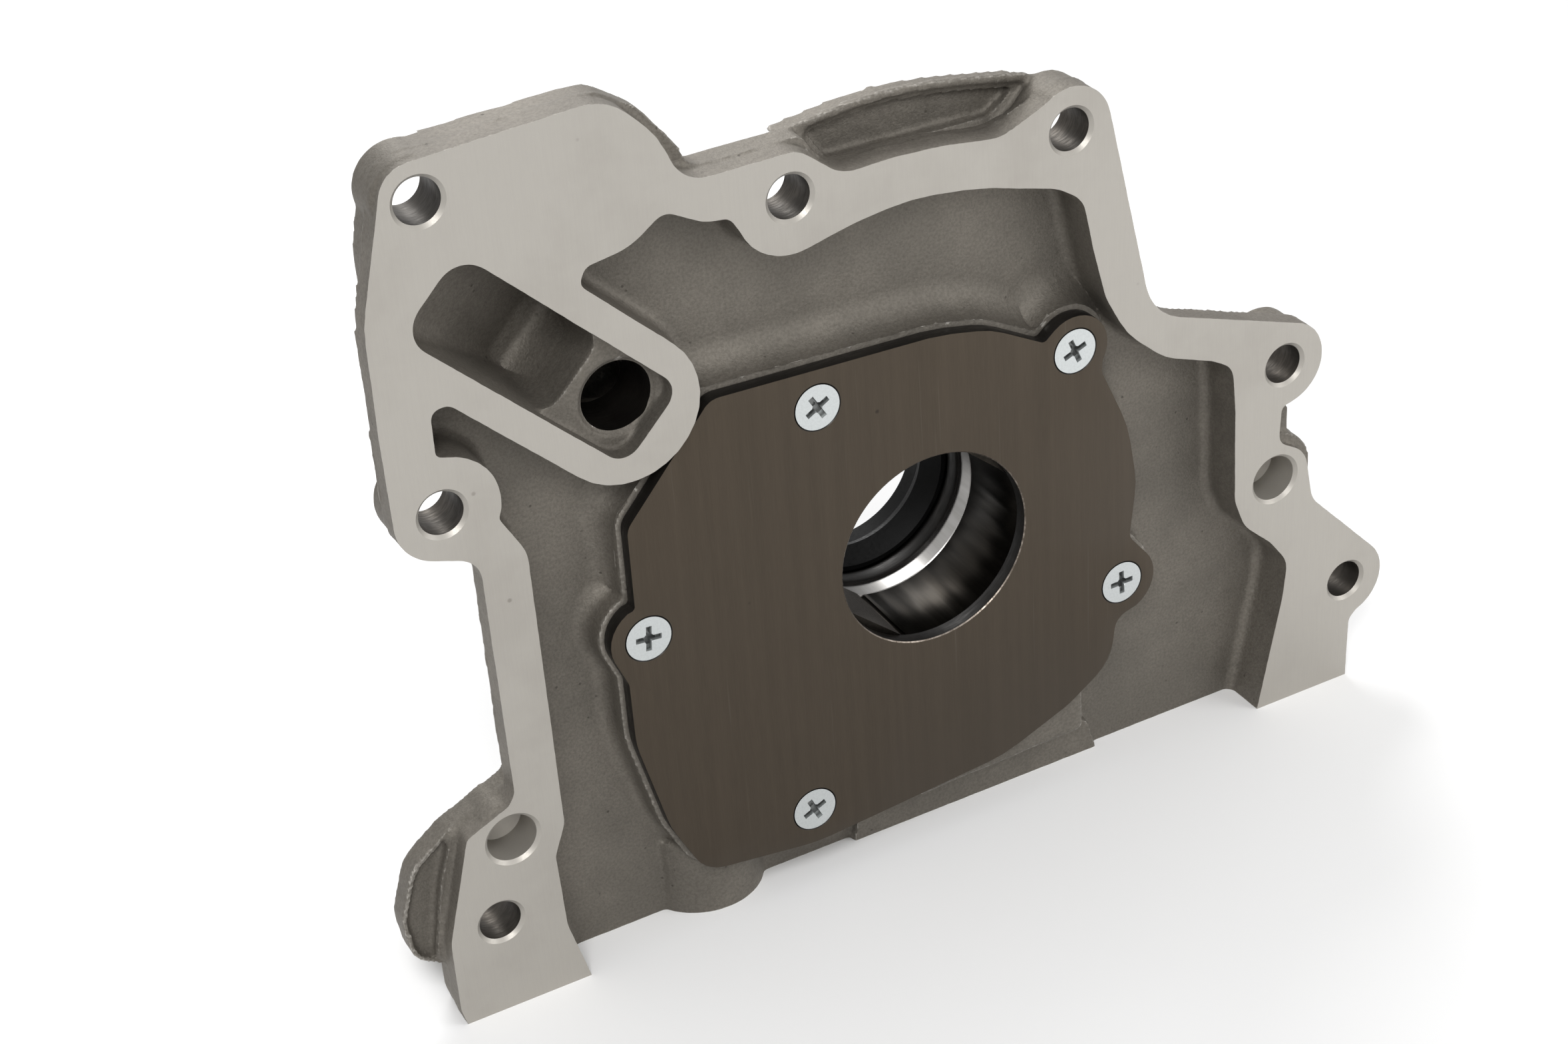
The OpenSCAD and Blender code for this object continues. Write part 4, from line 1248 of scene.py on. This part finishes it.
@dataclass
class CoverPlate:
    """The steel cover plate and its five countersunk screws."""

    screws: tuple[tuple[float, float], ...] = Housing.screws
    hole_r: float = 20.4
    hole_break: float = 0.2
    head_r: float = 4.6
    head_gap: float = 0.28
    shank_r: float = 2.8
    edge_break: float = 0.25
    screw_edge: float = 0.1
    upright: float = 0.4

    def plate(self) -> bpy.types.Object:
        """Copies the CAD plate and opens its countersinks and the edge of its large hole a little.

        Returns:
            The plate.
        """
        plate = join("cover_plate", [copied("rotor_cover_plate")])
        for finish in (Finishes.PLATE, Finishes.PLATE_EDGE, Finishes.PAINTED_SHADE):
            plate.data.materials.append(finish.material())
        break_edges(plate, self.edge_break, 40)
        applied(plate)
        # Upright faces, the plate's edges and hole walls, get the near-black wall: painted shade.
        for face in plate.data.polygons:
            if abs(face.normal.y) < self.upright:
                face.material_index = PlateCut.PAINTED_SHADE.value
        wide = self.head_r + self.head_gap
        # The countersinks get the near-black wall: painted shade round the screw heads.
        for x, z in self.screws:
            sink = [(wide + 0.3, -0.3), (wide, 0), (self.shank_r, wide - self.shank_r)]
            cut(plate, turned("sink", (x, 0, z), sink, looks=(PlateCut.PAINTED_SHADE,) * 3))
        # The chamfer round the large hole gets the light ground steel: partly a painted highlight.
        reach = self.hole_r + self.hole_break
        rim = [(reach + 0.3, -0.3), (reach, 0), (self.hole_r, self.hole_break),
               (self.hole_r - 1, self.hole_break + 0.2)]
        cut(plate, turned("rim", (0, 0, 0), rim, sides=160, looks=(PlateCut.BRIGHT,) * 4))
        return plate

    def build(self) -> None:
        """Makes the plate and dresses the screws."""
        plate = self.plate()
        shade(plate)
        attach(plate, "housing")
        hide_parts("rotor_cover_plate")
        log.info("cover plate: %d faces", len(plate.data.polygons))
        dress("cover_screws", Finishes.SCREW, self.screw_edge)


@dataclass
class Rotors:
    """The inner and outer rotor."""

    edge_break: float = 0.15

    def build(self) -> None:
        """Dresses both rotors."""
        dress("inner_rotor", Finishes.ROTOR, self.edge_break)
        dress("outer_rotor", Finishes.ROTOR, self.edge_break)


@dataclass
class CrankSeal:
    """The crankshaft seal: case, lip and spring ring."""

    def build(self) -> None:
        """Dresses the seal."""
        dress("seal_case", Finishes.RUBBER)
        dress("seal_lip", Finishes.RUBBER)
        dress("seal_garter_spring", Finishes.SPRING)


@dataclass
class ReliefValve:
    """The relief valve's piston, spring, plug and washer."""

    edge_break: float = 0.2
    spring_seat: tuple[float, float, float] = (-71.0, 23.52, 23.0)
    spring_length: float = 18.5
    travel: float = 6.0
    spring_gap: float = 0.1

    def spring(self) -> None:
        """Copies the spring and lets the copy, with its finish, stand for the CAD node."""
        spring = join("valve_spring", [copied("relief_spring")])
        spring.data.materials.append(Finishes.SPRING.material())
        shade(spring, 60)
        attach(spring, "housing")
        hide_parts("relief_spring")
        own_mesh(spring)
        log.info("valve spring: %d faces", len(spring.data.polygons))

    def build(self) -> None:
        """Dresses the valve."""
        dress("relief_piston", Finishes.SLIDING, self.edge_break)
        self.spring()
        dress("relief_plug", Finishes.ZINC, self.edge_break)
        dress("relief_plug_washer", Finishes.COPPER, self.edge_break)


@dataclass
class Studio:
    """Floor, background, lamps and the photograph's camera."""

    camera_place: tuple[float, float, float] = (-223.88, -394.917, 291.597)
    right: tuple[float, float, float] = (0.87851, -0.47311, -0.06626)
    up: tuple[float, float, float] = (0.30112, 0.44071, 0.84564)
    focal_pixels: float = 4202.0
    image_width: float = 2356.0
    sensor: float = 36.0
    floor_z: float = -69.0
    lamps: list[tuple[str, tuple[float, float, float], float, float]] = field(default_factory=lambda: [
        ("key", (-350, -520, 620), 320, 4.0),
        ("fill", (520, -420, 260), 420, 1.5),
        ("back", (80, 520, 520), 420, 3.0)])

    def camera(self) -> None:
        """Places the camera where the photograph was taken."""
        data = bpy.data.cameras.new("camera")
        data.sensor_width = self.sensor
        data.lens = self.focal_pixels * self.sensor / self.image_width
        data.clip_start = 0.01
        right = Vector(self.right).normalized()
        up = (Vector(self.up) - Vector(self.up).dot(right) * right).normalized()
        back = right.cross(up)
        turn = Matrix((right, up, back)).transposed().to_4x4()
        camera = bpy.data.objects.new("camera", data)
        camera.matrix_world = Matrix.Translation(Vector(self.camera_place) * MM) @ turn
        bpy.context.scene.collection.objects.link(camera)
        bpy.context.scene.camera = camera

    def floor(self) -> None:
        """Makes the pale floor, which looks white to the camera and keeps the shadow."""
        size = 3000
        floor = new_object("floor", [(-size, -size, self.floor_z), (size, -size, self.floor_z),
                                     (size, size, self.floor_z), (-size, size, self.floor_z)], [[0, 1, 2, 3]])
        material = bpy.data.materials.new("floor")
        material.use_nodes = True
        shader = material.node_tree.nodes["Principled BSDF"]
        shader.inputs["Base Color"].default_value = (0.9, 0.9, 0.9, 1.0)
        shader.inputs["Roughness"].default_value = 0.9
        floor.data.materials.append(material)

    def world(self) -> None:
        """Makes the white surroundings."""
        world = bpy.data.worlds.new("studio")
        world.use_nodes = True
        tree = Tree(world.node_tree)
        background = world.node_tree.nodes["Background"]
        paths = tree.node("ShaderNodeLightPath")
        seen = tree.math("ADD", paths.outputs["Is Camera Ray"], paths.outputs["Is Glossy Ray"])
        seen = tree.math("ADD", seen, paths.outputs["Is Transmission Ray"], clamp=True)
        strength = tree.ramp(seen, 0.0, 1.0, 0.55, 1.0)
        background.inputs["Color"].default_value = (1.0, 1.0, 1.0, 1.0)
        tree.join(strength, background.inputs["Strength"])
        bpy.context.scene.world = world

    def light(self) -> None:
        """Hangs the soft lamps, each pointed at the part."""
        for name, place, size, power in self.lamps:
            data = bpy.data.lights.new(name, "AREA")
            data.shape = "DISK"
            data.size = size * MM
            data.energy = power
            lamp = bpy.data.objects.new(name, data)
            lamp.location = Vector(place) * MM
            lamp.rotation_euler = (-Vector(place)).to_track_quat("-Z", "Y").to_euler()
            bpy.context.scene.collection.objects.link(lamp)

    def build(self) -> None:
        """Sets up the whole studio."""
        self.camera()
        self.floor()
        self.world()
        self.light()
        bpy.context.scene.view_settings.view_transform = "Standard"
        log.info("studio ready")


def main() -> None:
    """Builds the studio and every sub-assembly, and notes the size before and after."""
    logging.basicConfig(level=logging.INFO, format="%(name)s %(message)s")
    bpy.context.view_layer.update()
    Studio().build()
    for part in (Housing(), CoverPlate(), Rotors(), CrankSeal(), ReliefValve()):
        part.build()


if __name__ == "__main__":
    main()
